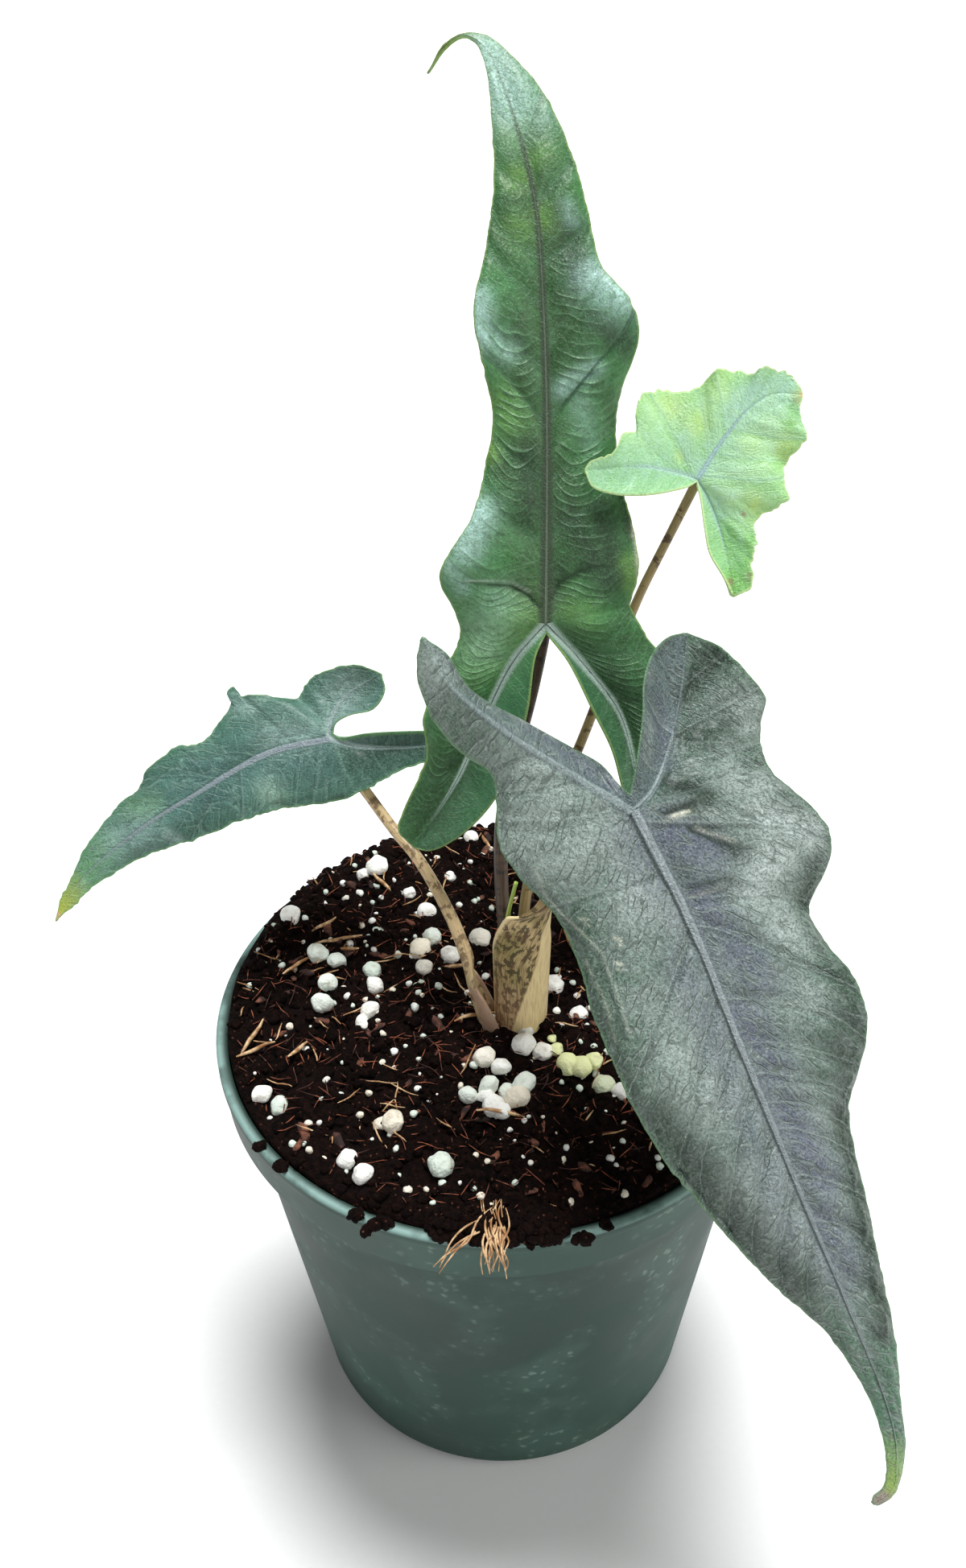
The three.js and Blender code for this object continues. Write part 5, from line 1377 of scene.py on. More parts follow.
# Petiole skin: smooth and slightly waxy, tan or olive with darker marks that run across it. Its
# clasping base is paler at both margins.
def stalk_material(name, look):
    material, tree, way = new_material(name, "way")
    along, left, right = add(tree, "ShaderNodeSeparateXYZ", {0: way}, out=EVERY)
    marks = add(tree, "ShaderNodeVectorMath", {0: way, 1: look["stretch"]}, operation="MULTIPLY")
    start, base = look["marks_from"], look["base_length"]
    marks = mottle(
        tree, marks, look["mark_size"], 3, span(start, start + 0.06, 0, 0.85), 0.6, **SOFT,
    )
    wash = mottle(tree, way, 9, 2, span(0.38, 0.62))
    fibre = add(tree, "ShaderNodeVectorMath", {0: way, 1: (0.1, 1, 0)}, operation="MULTIPLY")
    fibre = add(tree, "ShaderNodeTexNoise", {"Vector": fibre, "Scale": 1 / 0.5, "Detail": 2})
    streak = span(0.45, 0.65, 0, look["streak"])
    streak = add(tree, "ShaderNodeMapRange", {"Value": fibre, **streak})
    # The pale right margin, wide at the foot and gone at its point, and the thin left one.
    foot = add(tree, "ShaderNodeMapRange", {"Value": along, **span(10, look["flap_length"], 1, 0)})
    foot = add(tree, "ShaderNodeMath", {0: foot, 1: 0.6}, operation="POWER")
    foot = product(tree, foot, look["flap_width"])
    flap = add(tree, "ShaderNodeMath", {0: foot, 1: right}, operation="SUBTRACT")
    flap = add(tree, "ShaderNodeMapRange", {"Value": flap, **span(-0.2, 0.4)})
    brim = add(tree, "ShaderNodeMapRange", {"Value": left, **span(0.6, 1.5, 0.9, 0)}, **SOFT)
    clasping = add(tree, "ShaderNodeMath", {0: along, 1: base}, operation="LESS_THAN")
    # Near the mix the base is bleached and streaked.
    bleached = span(2, base * 0.6 + 2.1, 0.75, 0)
    bleached = add(tree, "ShaderNodeMapRange", {"Value": along, **bleached})
    upper = add(tree, "ShaderNodeMapRange", {"Value": along, **span(base, base + 5)})
    tissue = layered(tree, look["ground"], [
        (wash, look["wash"]),
        (product(tree, upper, 0.8), look["upper"]),
        (marks, look["mark"]),
        (product(tree, bleached, clasping), look["bleach"]),
        (streak, look["streak_tint"]),
        (product(tree, flap, clasping, 0.92), look["flap"]),
        (product(tree, streak, flap, clasping, 0.5), look["bleach"]),
        (product(tree, brim, clasping), look["flap"]),
    ])
    normal = add(tree, "ShaderNodeBump", {"Height": fibre, "Strength": 0.5, "Distance": 0.0002})
    surface(tree, {"Base Color": tissue, "Normal": normal, "Roughness": 0.42, "IOR": 1.45})
    return material


# How each stalk looks: the tall, the small, the low and the front leaf's, and the new shoot's. A
# row gives its ground, the wash over it, its upper part, its marks with their size in millimetres
# and how they stretch, its streaks, or what its clasping base shows.
STALK_LOOKS = {
    "ground": ("4a382c", "b09a6e", "e6cda4", "cdb584", "8fae4a"),
    "wash": ("372d24", "8c884c", "cbb686", "a0925a", "a9c45c"),
    "upper": ("453528", "988358", "c9ae82", "54492f", "a9c45c"),
    "mark": ("1d1410", "4c3422", "7a6142", "2b2d14", "7a8f3c"),
    "mark_size": (2.4, 3, 2, 1.7, 2.4),
    "marks_from": (0.52, 0.54, 0.52, 0.49, 0.7),
    "stretch": ((1, 0.45, 0), (1, 0.45, 0), (0.75, 0.8, 0), (0.7, 1, 0), (1, 0.45, 0)),
    "streak": (0.35, 0.35, 0.35, 0.7, 0.35),
    "streak_tint": ("6a5442", "5f4c30", "6b5238", "6b4433", "7a8f3c"),
    "base_length": (0, 0, 26, 55, 0),
    "flap_length": (1, 1, 34, 52, 1),
    "flap_width": (0, 0, 5, 13.5, 0),
    "flap": ("b09a72", "b09a72", "b5947e", "f2dca6", "b09a72"),
    "bleach": ("b09a72", "b09a72", "a8886c", "b98b6e", "b09a72"),
}


# Pot.
def corner_arc(inset):
    """The quarter round between the floor and the wall, inset by a wall thickness."""
    angle = np.linspace(0, math.pi / 2, 9)
    reach = POT_CORNER - inset
    return [
        (POT_FOOT_RADIUS + reach * math.sin(a), POT_CORNER - reach * math.cos(a)) for a in angle
    ]


def wall_points(top_radius, inset):
    """Even steps up the tapered wall, so that its faces stay short."""
    foot = POT_FOOT_RADIUS + POT_CORNER - inset
    rise = COLLAR_FOOT - COLLAR_FLARE - POT_CORNER
    shares = np.linspace(0, 1, 13)[1:]
    return [(foot + (top_radius - foot) * s, POT_CORNER + rise * s) for s in shares]


def pot_outline():
    lip = POT_HEIGHT - LIP_HEIGHT
    return [
        (0, 0),
        *corner_arc(0),
        *wall_points(POT_TAPER_RADIUS, 0),
        (POT_RADIUS - 4.2, COLLAR_FOOT - 1.9),
        (POT_RADIUS - 1.9, COLLAR_FOOT - 0.7),
        (POT_RADIUS - 1.3, COLLAR_FOOT),
        (POT_RADIUS - 1.1, COLLAR_FOOT + 0.6),
        (POT_RADIUS - 0.4, lip - 0.5),
        (POT_RADIUS - 0.25, lip + 0.1),
        (POT_RADIUS, lip + 0.6),
        (POT_RADIUS, POT_HEIGHT - 0.8),
        (POT_RADIUS - 0.25, POT_HEIGHT - 0.25),
        (POT_RADIUS - 0.8, POT_HEIGHT),
        (LIP_INSIDE + 0.8, POT_HEIGHT),
        (LIP_INSIDE + 0.25, POT_HEIGHT - 0.25),
        (LIP_INSIDE, POT_HEIGHT - 0.8),
        (LIP_INSIDE, COLLAR_FOOT + 1),
        *wall_points(POT_TAPER_RADIUS - POT_WALL, POT_WALL)[::-1],
        *corner_arc(POT_WALL)[::-1],
        (0, POT_WALL),
    ]


def turned(outline, sides):
    """Corners and faces of an outline turned about the vertical axis, closed at both poles."""
    radius, z = np.array(outline[1:-1]).T
    turn = np.arange(sides) / sides * 2 * math.pi
    rings = np.stack([
        radius[:, None] * np.cos(turn), radius[:, None] * np.sin(turn), z[:, None] + 0 * turn,
    ], 2)
    corners = np.array([*rings.reshape(-1, 3), (0, 0, outline[0][1]), (0, 0, outline[-1][1])])
    faces = ring_faces(0, len(radius), sides).tolist()
    start, end, last = len(corners) - 2, len(corners) - 1, (len(radius) - 1) * sides
    for k in range(sides):
        faces.append((start, (k + 1) % sides, k))
        faces.append((end, last + k, last + (k + 1) % sides))
    return corners, faces


def make_pot():
    pot = mesh_object("nursery_pot", *turned(pot_outline(), POT_SIDES), pot_material())
    outline = [(0, -3), (DRAIN_RADIUS, -3), (DRAIN_RADIUS, 5), (0, 5)]
    drills = []
    for k in range(DRAIN_COUNT):
        turn = k / DRAIN_COUNT * 2 * math.pi
        corners, sides = turned(outline, DRAIN_SIDES)
        corners += (DRAIN_CIRCLE * math.cos(turn), DRAIN_CIRCLE * math.sin(turn), 0)
        drills.append(mesh_object("drill", corners, sides))
        cut = pot.modifiers.new("drain", "BOOLEAN")
        cut.object = drills[-1]
        cut.solver = "EXACT"
    settle(pot)
    for drill in drills:
        bpy.data.objects.remove(drill)
    dress(pot, "pot_plastic", "pot")


# Polypropylene, injection moulded with a matt finish: an even dark green with a soft broad
# gloss, a few pale specks of lime, and a lip painted paler in broken patches, partly worn by
# handling and partly a painted highlight.
def pot_material():
    material, tree, place = new_material("moulded_polypropylene")
    height = add(tree, "ShaderNodeSeparateXYZ", {0: place}, out=2)
    clouds = mottle(tree, place, 0.03, 4, span(0.35, 0.7))
    # Lime dries in drops: small spots, in drifts.
    wobble = {"Vector": place, "Scale": 1 / 0.003, "Detail": 3}
    wobble = add(tree, "ShaderNodeTexNoise", wobble, out="Color")
    uneven = add(tree, "ShaderNodeVectorMath", {0: wobble, "Scale": 0.004}, operation="SCALE")
    uneven = add(tree, "ShaderNodeVectorMath", {0: place, 1: uneven}, operation="ADD")
    drops = spots(tree, uneven, 0.0036, 0.1, 0.34, 1)
    drift = mottle(tree, place, 0.02, 3, span(0.48, 0.66))
    film = add(tree, "ShaderNodeMapRange", {"Value": height, **span(0, 0.075, 0.16, 0)})
    # The collar is a shade lighter and the lip is lighter still, but mix has stained its inner
    # half. Its outer half is paler in broken patches, partly rubbed by handling and partly a
    # painted highlight.
    collar = span((COLLAR_FOOT - 2) * MM, (COLLAR_FOOT + 1) * MM, 0, 0.12)
    collar = add(tree, "ShaderNodeMapRange", {"Value": height, **collar})
    lip = span((POT_HEIGHT - 1.2) * MM, (POT_HEIGHT - 0.3) * MM)
    lip = add(tree, "ShaderNodeMapRange", {"Value": height, **lip})
    rub_and_sheen = mottle(tree, place, 0.008, 4, span(0.35, 0.5, 0.35, 0.85))
    across = add(tree, "ShaderNodeVectorMath", {0: place, 1: (1, 1, 0)}, operation="MULTIPLY")
    across = add(tree, "ShaderNodeVectorMath", {0: across}, out="Value", operation="LENGTH")
    outer = span((LIP_INSIDE + 0.8) * MM, (LIP_INSIDE + 2.2) * MM)
    outer = add(tree, "ShaderNodeMapRange", {"Value": across, **outer})
    body = layered(tree, "0d2d24", [
        (clouds, "15372d"),
        (film, "5a8072"),
        (product(tree, drift, 0.13), "5f8274"),
        (product(tree, drops, drift, 0.32), "97b3a6"),
        (collar, "3f665a"),
        (product(tree, lip, 0.7), "2c3f38"),
        (product(tree, lip, rub_and_sheen, outer), "8caea6"),
    ])
    # Spark-eroded mould texture, half a millimetre across.
    grain = add(tree, "ShaderNodeTexNoise", {"Vector": place, "Scale": 1 / 0.0006, "Detail": 2})
    normal = add(tree, "ShaderNodeBump", {"Height": grain, "Strength": 0.25, "Distance": 0.0001})
    gloss = add(tree, "ShaderNodeMapRange", {"Value": clouds, **span(0, 1, 0.56, 0.68)})
    surface(tree, {"Base Color": body, "Normal": normal, "Roughness": gloss, "IOR": 1.49})
    return material


# Mix.
def soil_form(x, y):
    """Height of the mix: a mound in the middle, higher towards the back left."""
    r = np.hypot(x, y) / LIP_INSIDE
    back = (0.9 * y - 0.45 * x) / LIP_INSIDE
    bumps = (
        np.sin(0.31 * x + 1.2) * np.sin(0.27 * y + 0.4)
        + 0.6 * np.sin(0.62 * x - 0.45 * y)
        + 0.4 * np.sin(0.9 * y + 0.5 * x + 2)
    )
    rise = SOIL_BACK_RISE * smooth(0.1, 1, back) * (1 - 0.5 * smooth(0.93, 1, r))
    bump = SOIL_BUMP * bumps * (1 - 0.5 * r)
    return POT_HEIGHT + SOIL_EDGE_RISE + SOIL_MOUND * (1 - r * r) + rise + bump


def soil_top(x, y):
    """The mix with its clods and crumbs, down to about a millimetre."""
    clods = 1.1 * soft_noise(x / 6.5, y / 6.5, 1) + 0.8 * soft_noise(x / 3.1, y / 3.1, 2)
    crumbs = 0.55 * soft_noise(x / 1.5, y / 1.5, 3) + 0.3 * soft_noise(x / 0.8, y / 0.8, 4)
    edge = 1 - 0.6 * smooth(0.9, 1, np.hypot(x, y) / LIP_INSIDE)
    return soil_form(x, y) + (clods + crumbs) * edge


def soil_grid(rings, sides, kept):
    """The middle of the mix's top, and the first `kept` of its rings that go out to the pot."""
    radius = (LIP_INSIDE - GAP) * np.linspace(0, 1, rings + 1)[1:, None]
    turn = np.arange(sides)[None] / sides * 2 * math.pi
    x, y = radius * np.cos(turn), radius * np.sin(turn)
    grid = np.stack([x, y, soil_top(x, y)], 2)[:kept]
    return np.concatenate([[(0, 0, soil_top(0.0, 0.0))], grid.reshape(-1, 3)])


def disc_faces(rings, sides):
    """Faces of rings about a centre corner, whose own corners come after it."""
    fan = [(0, 1 + k, 1 + (k + 1) % sides) for k in range(sides)]
    return fan + ring_faces(1, rings, sides)[:, [0, 3, 2, 1]].tolist()


def make_soil():
    """The body of the mix: its crumbly top, and below it the inside of the pot."""
    below = [
        (LIP_INSIDE - GAP, COLLAR_FOOT + 2),
        (POT_TAPER_RADIUS - POT_WALL - 2 * GAP, COLLAR_FOOT - COLLAR_FLARE),
        (POT_FOOT_RADIUS + POT_CORNER - POT_WALL - 2 * GAP, POT_CORNER),
        (POT_FOOT_RADIUS, POT_WALL + GAP),
    ]
    turn = np.arange(SOIL_SIDES) / SOIL_SIDES * 2 * math.pi
    corners = np.concatenate([
        soil_grid(SOIL_RINGS, SOIL_SIDES, SOIL_RINGS),
        *(np.stack([r * np.cos(turn), r * np.sin(turn), z + 0 * turn], 1) for r, z in below),
        [(0, 0, POT_WALL + GAP)],
    ])
    rings = SOIL_RINGS + len(below)
    floor, last = len(corners) - 1, 1 + (rings - 1) * SOIL_SIDES
    faces = disc_faces(rings, SOIL_SIDES)
    faces += [(floor, last + (k + 1) % SOIL_SIDES, last + k) for k in range(SOIL_SIDES)]
    body = mesh_object("potting_mix_body", corners, faces, peat_material())
    dress(body, "potting_mix", "potting_mix")


def soil_host(reach):
    """A coarse copy of the mix's top, out to a share of its radius, to scatter things on."""
    rings, sides = 24, 90
    kept = max(2, round(rings * reach))
    return mesh_object("soil_host", soil_grid(rings, sides, kept), disc_faces(kept, sides))


# Sphagnum peat with bark fines: soft, nearly black where damp, red-brown where it has dried.
def peat_material():
    material, tree, place = new_material("peat")
    damp = mottle(tree, place, 0.014, 4, span(0.4, 0.62))
    crumb = mottle(tree, place, 0.0016, 4, span(0.42, 0.68), 0.7)
    fleck = spots(tree, place, 0.0022, 0.08, 0.17, 0.5)
    normal = add(tree, "ShaderNodeBump", {"Height": crumb, "Strength": 0.9, "Distance": 0.0008})
    surface(tree, {
        "Base Color": layered(
            tree, "040302", [(damp, "100807"), (crumb, "24140f"), (fleck, "84503c")],
        ),
        "Normal": normal, "Roughness": 0.92, "IOR": 1.4, "Specular IOR Level": 0.12,
    })
    return material


# Loose matter: bark, coconut fibre and moss are dull and pored, paler in patches. They differ in
# tone, grain and gloss.
def loose_material(name, dark, light, grain, roughness, depth=0.0004):
    material, tree, place = new_material(name)
    tone = mottle(tree, place, 0.004, 1, span(0.38, 0.62))
    pore = add(tree, "ShaderNodeTexNoise", {"Vector": place, "Scale": 1 / grain, "Detail": 3})
    spread = add(tree, "ShaderNodeMapRange", {"Value": pore, **span(0.3, 0.7)})
    both = product(tree, tone, spread)
    both = add(tree, "ShaderNodeMath", {0: both, 1: 1.6}, operation="MULTIPLY", use_clamp=True)
    normal = add(tree, "ShaderNodeBump", {"Height": pore, "Strength": 0.6, "Distance": depth})
    body = layered(tree, dark, [(both, light)])
    surface(tree, {"Base Color": body, "Normal": normal, "Roughness": roughness})
    return material


# Expanded perlite: chalky foamed glass, white or cream, with grey-green algae on some grains and
# fine pores, painted grey inside as shade.
def perlite_material():
    material, tree, place = new_material("expanded_perlite")
    tint = add(tree, "ShaderNodeAttribute", out="Fac", attribute_name="tint")
    mint = add(tree, "ShaderNodeMapRange", {"Value": tint, **span(0.6, 0.75)})
    mossy = add(tree, "ShaderNodeMapRange", {"Value": tint, **span(1, 1.2)})
    cream = add(tree, "ShaderNodeMapRange", {"Value": tint, **span(0.2, 0.32, 0.8, 0)})
    soil = mottle(tree, place, 0.0035, 4, span(0.58, 0.75, 0, 0.55))
    pores = add(tree, "ShaderNodeTexVoronoi", {"Vector": place, "Scale": 1 / 0.0007})
    pit_shade = add(tree, "ShaderNodeMapRange", {"Value": pores, **span(0.1, 0.3, 0.35, 0)})
    body = layered(tree, "fbfaf4", [
        (cream, "f0e4cc"),
        (product(tree, mint, 0.7), "c9dccb"),
        (mossy, "e9edb4"),
        (pit_shade, "bcb8a4"),
        (soil, "9c8a70"),
    ])
    normal = add(tree, "ShaderNodeBump", {"Height": pores, "Strength": 0.5, "Distance": 0.0003})
    surface(tree, {"Base Color": body, "Normal": normal, "Roughness": 0.8, "IOR": 1.45})
    return material


# Trees that grow what repeats, and the kinds of their inputs.
GRAIN_INPUTS = {
    "Density": "Float", "Smallest": "Float", "Largest": "Float", "Stretch": "Vector",
    "Lumps": "Float", "Lump Size": "Float", "Facets": "Int", "Seed": "Int",
    "Material": "Material",
}
FIBRE_INPUTS = {
    "Density": "Float", "Smallest": "Float", "Largest": "Float", "Thickness": "Float",
    "Bend": "Float", "Rise": "Float", "Seed": "Int", "Material": "Material",
}
THREAD_INPUTS = {"Thickness": "Float", "Material": "Material"}


def new_tree(name, inputs):
    """A tree with named inputs, its group input's sockets and its output node."""
    tree = bpy.data.node_groups.new(name, "GeometryNodeTree")
    tree.interface.new_socket("Geometry", in_out="OUTPUT", socket_type="NodeSocketGeometry")
    for label, kind in {"Geometry": "Geometry", **inputs}.items():
        tree.interface.new_socket(label, in_out="INPUT", socket_type="NodeSocket" + kind)
    source = tree.nodes.new("NodeGroupInput").outputs
    return tree, source, tree.nodes.new("NodeGroupOutput")


def finish_tree(tree, output, shape, material):
    """Makes instances real and gives the result its material."""
    real = add(tree, "GeometryNodeRealizeInstances", {"Geometry": shape})
    soft = add(tree, "GeometryNodeSetShadeSmooth", {"Geometry": real})
    done = add(tree, "GeometryNodeSetMaterial", {"Geometry": soft, "Material": material})
    tree.links.new(done, output.inputs[0])
    return tree


def strewn_points(tree, source):
    """Points strewn over the host, and a random size for each."""
    seed = {"Seed": source["Seed"]}
    ground = {"Mesh": source["Geometry"], "Density": source["Density"], **seed}
    ends = {2: source["Smallest"], 3: source["Largest"], **seed}
    points = add(tree, "GeometryNodeDistributePointsOnFaces", ground)
    return points, add(tree, "FunctionNodeRandomValue", ends, out=1, data_type="FLOAT")


def random_turn(tree, source, least, most):
    """A random turn about each axis, in radians."""
    ends = {0: least, 1: most, "Seed": source["Seed"]}
    return add(tree, "FunctionNodeRandomValue", ends, data_type="FLOAT_VECTOR")


def jitter(tree, fineness, reach):
    """A push that changes smoothly from place to place."""
    noise = add(tree, "ShaderNodeTexNoise", {"Scale": fineness, "Detail": 1}, out="Color")
    middle = add(tree, "ShaderNodeVectorMath", {0: noise, 1: (0.5, 0.5, 0.5)}, operation="SUBTRACT")
    return add(tree, "ShaderNodeVectorMath", {0: middle, "Scale": reach}, operation="SCALE")


def grains_tree(name, placed):
    """Lumpy grains, strewn over a surface or set on given points that carry their size."""
    tree, source, output = new_tree(name, GRAIN_INPUTS)
    if placed:
        points = add(tree, "GeometryNodeMeshToPoints", {"Mesh": source["Geometry"]})
        size = add(tree, "GeometryNodeInputNamedAttribute", {"Name": "size"}, data_type="FLOAT")
    else:
        points, size = strewn_points(tree, source)
        tint = {2: 0, 3: 1, "Seed": 7}
        tint = add(tree, "FunctionNodeRandomValue", tint, out=1, data_type="FLOAT")
        points = add(
            tree, "GeometryNodeStoreNamedAttribute",
            {"Geometry": points, "Name": "tint", "Value": tint}, data_type="FLOAT", domain="POINT",
        )
    pebble = add(tree, "GeometryNodeMeshIcoSphere", {"Radius": 1, "Subdivisions": source["Facets"]})
    wide = add(tree, "ShaderNodeVectorMath", {0: source["Stretch"], "Scale": size}, operation="SCALE")
    turn = random_turn(tree, source, (0, 0, 0), (0.6, 0.6, 6.28))
    grains = {"Points": points, "Instance": pebble, "Rotation": turn, "Scale": wide}
    grains = add(tree, "GeometryNodeInstanceOnPoints", grains)
    real = add(tree, "GeometryNodeRealizeInstances", {"Geometry": grains})
    fine = add(tree, "ShaderNodeMath", {0: 1, 1: source["Lump Size"]}, operation="DIVIDE")
    push = jitter(tree, fine, source["Lumps"])
    lumpy = add(tree, "GeometryNodeSetPosition", {"Geometry": real, "Offset": push})
    return finish_tree(tree, output, lumpy, source["Material"])


def fibres_tree(name):
    """Thin bent fibres that lie on a surface."""
    tree, source, output = new_tree(name, FIBRE_INPUTS)
    points, length = strewn_points(tree, source)
    turn = random_turn(tree, source, (-0.35, -0.35, 0), (0.35, 0.35, 6.28))
    line = add(tree, "GeometryNodeCurvePrimitiveLine", {"Start": (-0.5, 0, 0), "End": (0.5, 0, 0)})
    line = add(tree, "GeometryNodeResampleCurve", {"Curve": line, "Count": 6})
    fibres = {"Points": points, "Instance": line, "Rotation": turn, "Scale": length}
    fibres = add(tree, "GeometryNodeInstanceOnPoints", fibres)
    real = add(tree, "GeometryNodeRealizeInstances", {"Geometry": fibres})
    push = jitter(tree, 1 / 0.009, source["Bend"])
    lift = add(tree, "ShaderNodeCombineXYZ", {"Z": source["Rise"]})
    push = add(tree, "ShaderNodeVectorMath", {0: push, 1: lift}, operation="ADD")
    bent = add(tree, "GeometryNodeSetPosition", {"Geometry": real, "Offset": push})
    skin = thread_skin(tree, bent, source["Thickness"])
    return finish_tree(tree, output, skin, source["Material"])


def thread_skin(tree, curves, thickness):
    """A tube along each curve, thinner at both ends."""
    way = add(tree, "GeometryNodeSplineParameter")
    arch = add(tree, "ShaderNodeMath", {0: way, 1: 3.14159}, operation="MULTIPLY")
    arch = add(tree, "ShaderNodeMath", {0: arch}, operation="SINE")
    full = add(tree, "ShaderNodeMapRange", {"Value": arch, **span(0, 1, 0.35, 1)})
    ring = add(tree, "GeometryNodeCurvePrimitiveCircle", {"Resolution": 4, "Radius": thickness})
    return add(
        tree, "GeometryNodeCurveToMesh",
        {"Curve": curves, "Profile Curve": ring, "Scale": full, "Fill Caps": True},
    )


def threads_tree(name):
    """Tubes along the edges of a wire mesh."""
    tree, source, output = new_tree(name, THREAD_INPUTS)
    curves = add(tree, "GeometryNodeMeshToCurve", {"Mesh": source["Geometry"]})
    skin = thread_skin(tree, curves, source["Thickness"])
    return finish_tree(tree, output, skin, source["Material"])


def grown(name, host, tree, values):
    """Grows a tree on its host and keeps the result as a plain mesh."""
    modifier = host.modifiers.new("grow", "NODES")
    modifier.node_group = tree
    for item in tree.interface.items_tree:
        if item.in_out == "INPUT" and item.name in values:
            modifier[item.identifier] = values[item.name]
    settle(host)
    host.name = name
    host.data.name = name
    dress(host, "potting_mix")


# The larger perlite grains that show: place and radius in millimetres, and tint, which goes from
# cream at 0 over white to grey-green at 1 and a mossy yellow above.
LARGE_GRAINS = [
    (-58, 30, 3.2, 0.5), (-34, 48, 3.4, 0.5), (-38, 46, 2.2, 0.5), (-19.5, 29.4, 2.8, 0.4),
    (-17.6, 20.8, 3.0, 0.7), (-21, 15.4, 3.4, 0.2), (-12.7, 13, 3.0, 0.4), (-4.5, 18.6, 3.2, 0.25),
    (-20, 8.2, 2.4, 0.25), (-24.7, 37.7, 2.4, 0.4), (-12.8, 45.6, 1.9, 0.5), (-6.8, 61, 2.2, 0.4),
    (13.6, -17.4, 1.2, 1.5), (14, -19.8, 1, 1.5), (12.6, -21, 0.9, 1.5),
    (-49, 14, 3.0, 0.7), (-44, 12, 2.8, 0.7), (-46, 4, 2.8, 0.7), (-47, -3, 3.0, 0.7),
    (-34, 8, 2.6, 0.8), (-33, 2, 2.6, 0.3), (-34, -6, 2.8, 0.3), (-36, -9.5, 2.2, 0.3),
    (15, 1, 2.8, 0.5), (21, -9, 2.6, 0.6), (7, -15, 2.6, 0.6), (6, -21, 3.2, 0.4),
    (11, -22, 2.8, 0.3), (14.5, -21.5, 2.2, 1.3), (-4, -25, 3.0, 0.25), (0, -28, 2.6, 0.6),
    (17, -27, 3.2, 1.3), (20.5, -28, 3, 1.3), (24, -26.5, 2.4, 1.2), (26, -32.5, 3.0, 1.1),
    (30, -34, 2.4, 0.4), (-3, -34, 2.8, 0.7), (2, -34, 2.8, 0.7), (6, -33, 3, 0.7),
    (4, -38, 3.2, 0.2), (-2, -39, 3.2, 0.5), (-8, -36, 2.6, 0.7), (0, -41, 2.6, 0.5),
    (-3.5, -37, 2.4, 0.5), (-56, -34, 2.8, 0.8), (-61, -30, 2.6, 0.3), (-27, -43, 3.0, 0.2),
    (-30, -42, 2, 0.2), (-38, -52, 2.6, 0.5), (-34, -57, 2.8, 0.5), (-15, -56, 3.4, 0.8),
]


def tangled_fibres():
    """Routes of a wisp of curly fibres that hangs over the lip at the front. A few stray left."""
    routes = []
    for k in range(22):
        start, lean, drop, curl, beat = (lattice_draw(k, n, 9) for n in range(5))
        t = np.linspace(0, 1, 9)
        wave = 2 * math.pi * (beat + (0.5 + 0.8 * curl) * t)
        stray = -14 * t if k % 6 == 0 else (6 * lean - 3) * t**1.6
        x = -2 + 5 * (start - 0.5) * (1 - 0.4 * t) + stray + (0.4 + 0.8 * curl) * np.sin(wave)
        y = -68 + 3 * (beat - 0.5) - 13.5 * t**0.8 - 0.5 * np.cos(wave)
        z = 139.2 - (3 + 6 * drop) * t**2.2 + 0.8 * np.cos(1.3 * wave) * (1 - 0.5 * t)
        routes.append(np.stack([x, np.maximum(y, -83.4), z], 1))
    return routes


# Lumps of mix on the lip: place, reach along the lip and across it, and height in millimetres.
CLODS = [
    (-3, -71, 8, 5.4, 4.2), (8, -71.5, 6, 4.6, 3.6), (-13, -70.5, 5, 4, 3), (-29, -69.5, 2.2, 1.2, 0.8),
    (-35, -67, 1.6, 1.3, 0.8), (-32.5, -71.5, 1.1, 0.9, 0.9), (18, -75, 1.6, 1.1, 0.9),
    (24, -71.5, 1.3, 1, 0.7), (-60.5, -45, 1.2, 1.2, 0.8), (-54.5, -52, 0.9, 0.9, 0.7),
]


def point_host(places):
    """Bare points that carry their own size."""
    x, y, size, tint = np.array(places, float).T
    corners = np.stack([x, y, soil_top(x, y) + 0.3 * size], 1)
    host = mesh_object("grain_points", corners, [])
    set_values(host, "size", size * MM, "POINT")
    set_values(host, "tint", tint, "POINT")
    return host


def wire_host(routes):
    """Wire edges along smooth routes."""
    corners, edges = [], []
    for route in routes:
        places = spaced(route, 14)
        start = len(corners)
        corners += places.tolist()
        edges += [(start + k, start + k + 1) for k in range(len(places) - 1)]
    return mesh_object("wires", corners, [], edges=edges)


def clod_host():
    """Low lumps of mix that lie on the lip at the front."""
    shape = bmesh.new()
    for x, y, width, across, depth in CLODS:
        lump = bmesh.ops.create_icosphere(shape, subdivisions=3, radius=1)["verts"]
        for corner in lump:
            co = corner.co.copy()
            push = 1 + 0.18 * float(soft_noise(3 * co.x + x, 3 * co.y + 2 * co.z, 9))
            z = max(0, co.z) * depth * push
            corner.co = Vector((
                x + width * push * co.x, y + across * push * co.y, POT_HEIGHT + 0.4 + z,
            )) * MM
    mesh = bpy.data.meshes.new("clods")
    shape.to_mesh(mesh)
    shape.free()
    host = bpy.data.objects.new("clods", mesh)
    bpy.context.scene.collection.objects.link(host)
    return host


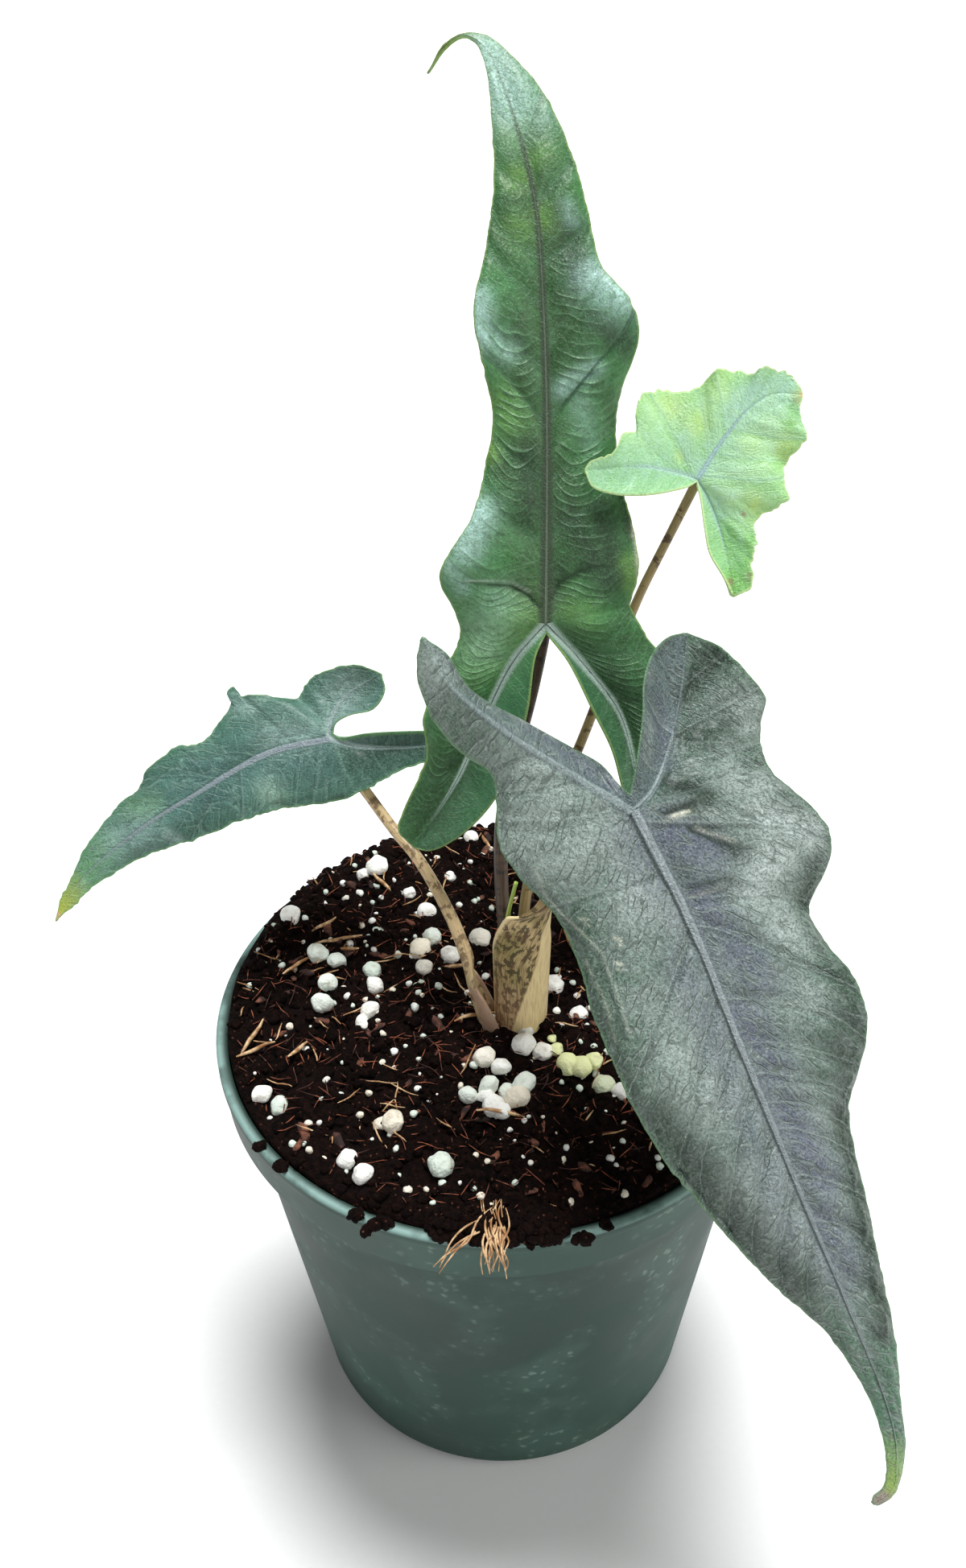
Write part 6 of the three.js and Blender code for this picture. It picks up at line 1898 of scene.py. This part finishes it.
def make_loose_matter():
    peat = bpy.data.materials["peat"]
    perlite = perlite_material()
    bark = loose_material("pine_bark", "24120e", "7c4a36", 0.0012, 0.85)
    fibre = loose_material("coconut_fibre", "9a6c42", "e2bf92", 0.0012, 0.7, 0.0001)
    hair = loose_material("moss_peat_hair", "34180f", "a3583a", 0.0012, 0.8, 0.0001)
    strewn = grains_tree("strewn_grains", placed=False)
    placed = grains_tree("placed_grains", placed=True)
    lying = fibres_tree("lying_fibres")
    hanging = threads_tree("hanging_fibres")

    grown("perlite_grains", point_host(LARGE_GRAINS), placed, {
        "Stretch": (1, 0.92, 0.85), "Lumps": 0.0018, "Lump Size": 0.0034, "Facets": 4,
        "Seed": 3, "Material": perlite,
    })
    # How far out each kind lies, as a share of the mix's radius, and its tree's inputs in order.
    for name, reach, *values in (
        ("perlite_crumbs", 0.97, 26000, 0.0003, 0.0013, (1, 0.9, 0.8), 0.0008, 0.0015, 2, 11, perlite),
        ("peat_crumbs", 0.98, 95000, 0.0006, 0.0019, (1, 0.8, 0.7), 0.0016, 0.0014, 2, 5, peat),
        ("bark_chips", 0.96, 9000, 0.001, 0.0034, (1, 0.4, 0.25), 0.0018, 0.002, 2, 8, bark),
    ):
        grown(name, soil_host(reach), strewn, dict(zip(GRAIN_INPUTS, values)))
    for name, reach, *values in (
        ("peat_hairs", 0.97, 56000, 0.0015, 0.007, 0.00016, 0.004, 0.0009, 33, hair),
        ("fibre_litter", 0.96, 6500, 0.002, 0.009, 0.00026, 0.0045, 0.0011, 21, fibre),
        ("twigs", 0.93, 1000, 0.005, 0.013, 0.0007, 0.003, 0.0016, 4, fibre),
    ):
        grown(name, soil_host(reach), lying, dict(zip(FIBRE_INPUTS, values)))
    threads = {"Thickness": 0.00028, "Material": fibre}
    grown("lip_fibres", wire_host(tangled_fibres()), hanging, threads)
    clods = clod_host()
    clods.data.materials.append(peat)
    dress(clods, "potting_mix")
    grown("clod_crumbs", clod_host(), strewn, {
        "Density": 900000, "Smallest": 0.0005, "Largest": 0.0016, "Stretch": (1, 0.8, 0.8),
        "Lumps": 0.0014, "Lump Size": 0.0014, "Facets": 2, "Seed": 6, "Material": peat,
    })


# Rhizome and roots, inside the mix. A root is its start's height from the crown, its heading, how
# far out it runs and how deep.
ROOTS = [
    (-6, 20, 38, 62), (-12, 95, 34, 70), (-8, 160, 44, 58), (-16, 215, 36, 74),
    (-10, 275, 30, 66), (-14, 330, 42, 72),
]


def make_rhizome():
    outline = [
        (0, -RHIZOME_LENGTH), (4, -RHIZOME_LENGTH + 2), (7, -26), (8.2, -17), (7.6, -14), (9, -8),
        (8.4, -6), (CROWN_RADIUS, -1.5), (CROWN_RADIUS - 0.8, 0), (0, 0),
    ]
    corners, faces = turned(outline, 40)
    corners = corners + CROWN
    for level, heading, reach, drop in ROOTS:
        turn = math.radians(heading)
        out = np.array((math.cos(turn), math.sin(turn), 0))
        start = CROWN + (0, 0, level)
        ways = (4, 0), (reach * 0.5, -drop * 0.25), (reach * 0.85, -drop * 0.62), (reach, -drop)
        route = [start + out * way + (0, 0, fall) for way, fall in ways]
        rings = np.array(stalk_rings(route, 24, ROOT_RADIUS, ROOT_RADIUS * 0.55, (0, 0, 1), 5))
        base, (count, size) = len(corners), rings.shape[:2]
        corners = np.concatenate([corners, rings.reshape(-1, 3)])
        faces += ring_faces(base, count, size).tolist()
        faces.append(range(base, base + size)[::-1])
        faces.append(range(base + (count - 1) * size, base + count * size))
    bark = loose_material("rhizome_bark", "6b4e36", "a9855c", 0.0015, 0.8)
    dress(mesh_object("rhizome_and_roots", corners, faces, bark), "rhizome", "rhizome")


# Plain pale card: an even matt ground.
def floor_material():
    material, tree, place = new_material("pale_card")
    grain = add(tree, "ShaderNodeTexNoise", {"Vector": place, "Scale": 1 / 0.002})
    surface(tree, {"Base Color": layered(tree, "f6f6f5", [(grain, "fafaf9")]), "Roughness": 0.9})
    return material


# Assembly.
def values_of(table, number):
    """One piece's values from a table that has a row for each value."""
    return {key: row[number] for key, row in table.items()}


def make_stalks():
    to_tall, to_small = route_to(LEAF_TALL, 1.7, STALK_TALL), route_to(LEAF_SMALL, 1.3, STALK_SMALL)
    tall = stalk_rings(to_tall, 20, 2.1, 1.5, (0, 1, 0), ROUND_HALF)
    small = stalk_rings(to_small, 22, 1.6, 1.1, (0, 1, 0), ROUND_HALF)
    shoot = stalk_rings(NEW_SHOOT, 16, 0.95, 0.45, (0, -1, 0), ROUND_HALF)
    for number, (name, rings, finish, slot, node) in enumerate((
        ("petiole_tall", tall, "petiole_dark", "stalk", "stalk_tall"),
        ("petiole_small", small, "petiole_tan", "stalk", "stalk_small"),
        ("petiole_low", rings_of_low(), "petiole_mottled", "stalk", "stalk_low"),
        ("petiole_front", rings_of_front(), "petiole_hood", "stalk", "stalk_front"),
        ("rolled_leaf", shoot, "shoot_skin", "shoot", "new_shoot"),
    )):
        material = stalk_material(finish, values_of(STALK_LOOKS, number))
        dress(make_stalk(name, rings, material), slot, node)


def make_blades():
    for number, (name, leaf, slot, node) in enumerate((
        ("leaf_tall", LEAF_TALL, "leaf_green", "blade_tall"),
        ("leaf_front", LEAF_FRONT, "leaf_pewter", "blade_front"),
        ("leaf_low", LEAF_LOW, "leaf_teal", "blade_low"),
        ("leaf_small", LEAF_SMALL, "leaf_lime", "blade_small"),
    )):
        cuticle = leaf_material(name + "_cuticle", values_of(LOOKS, number))
        dress(make_blade(name, leaf, values_of(SKINS, number), cuticle), slot, node)


make_camera()
make_studio()
make_pot()
make_soil()
make_loose_matter()
make_rhizome()
make_stalks()
make_blades()
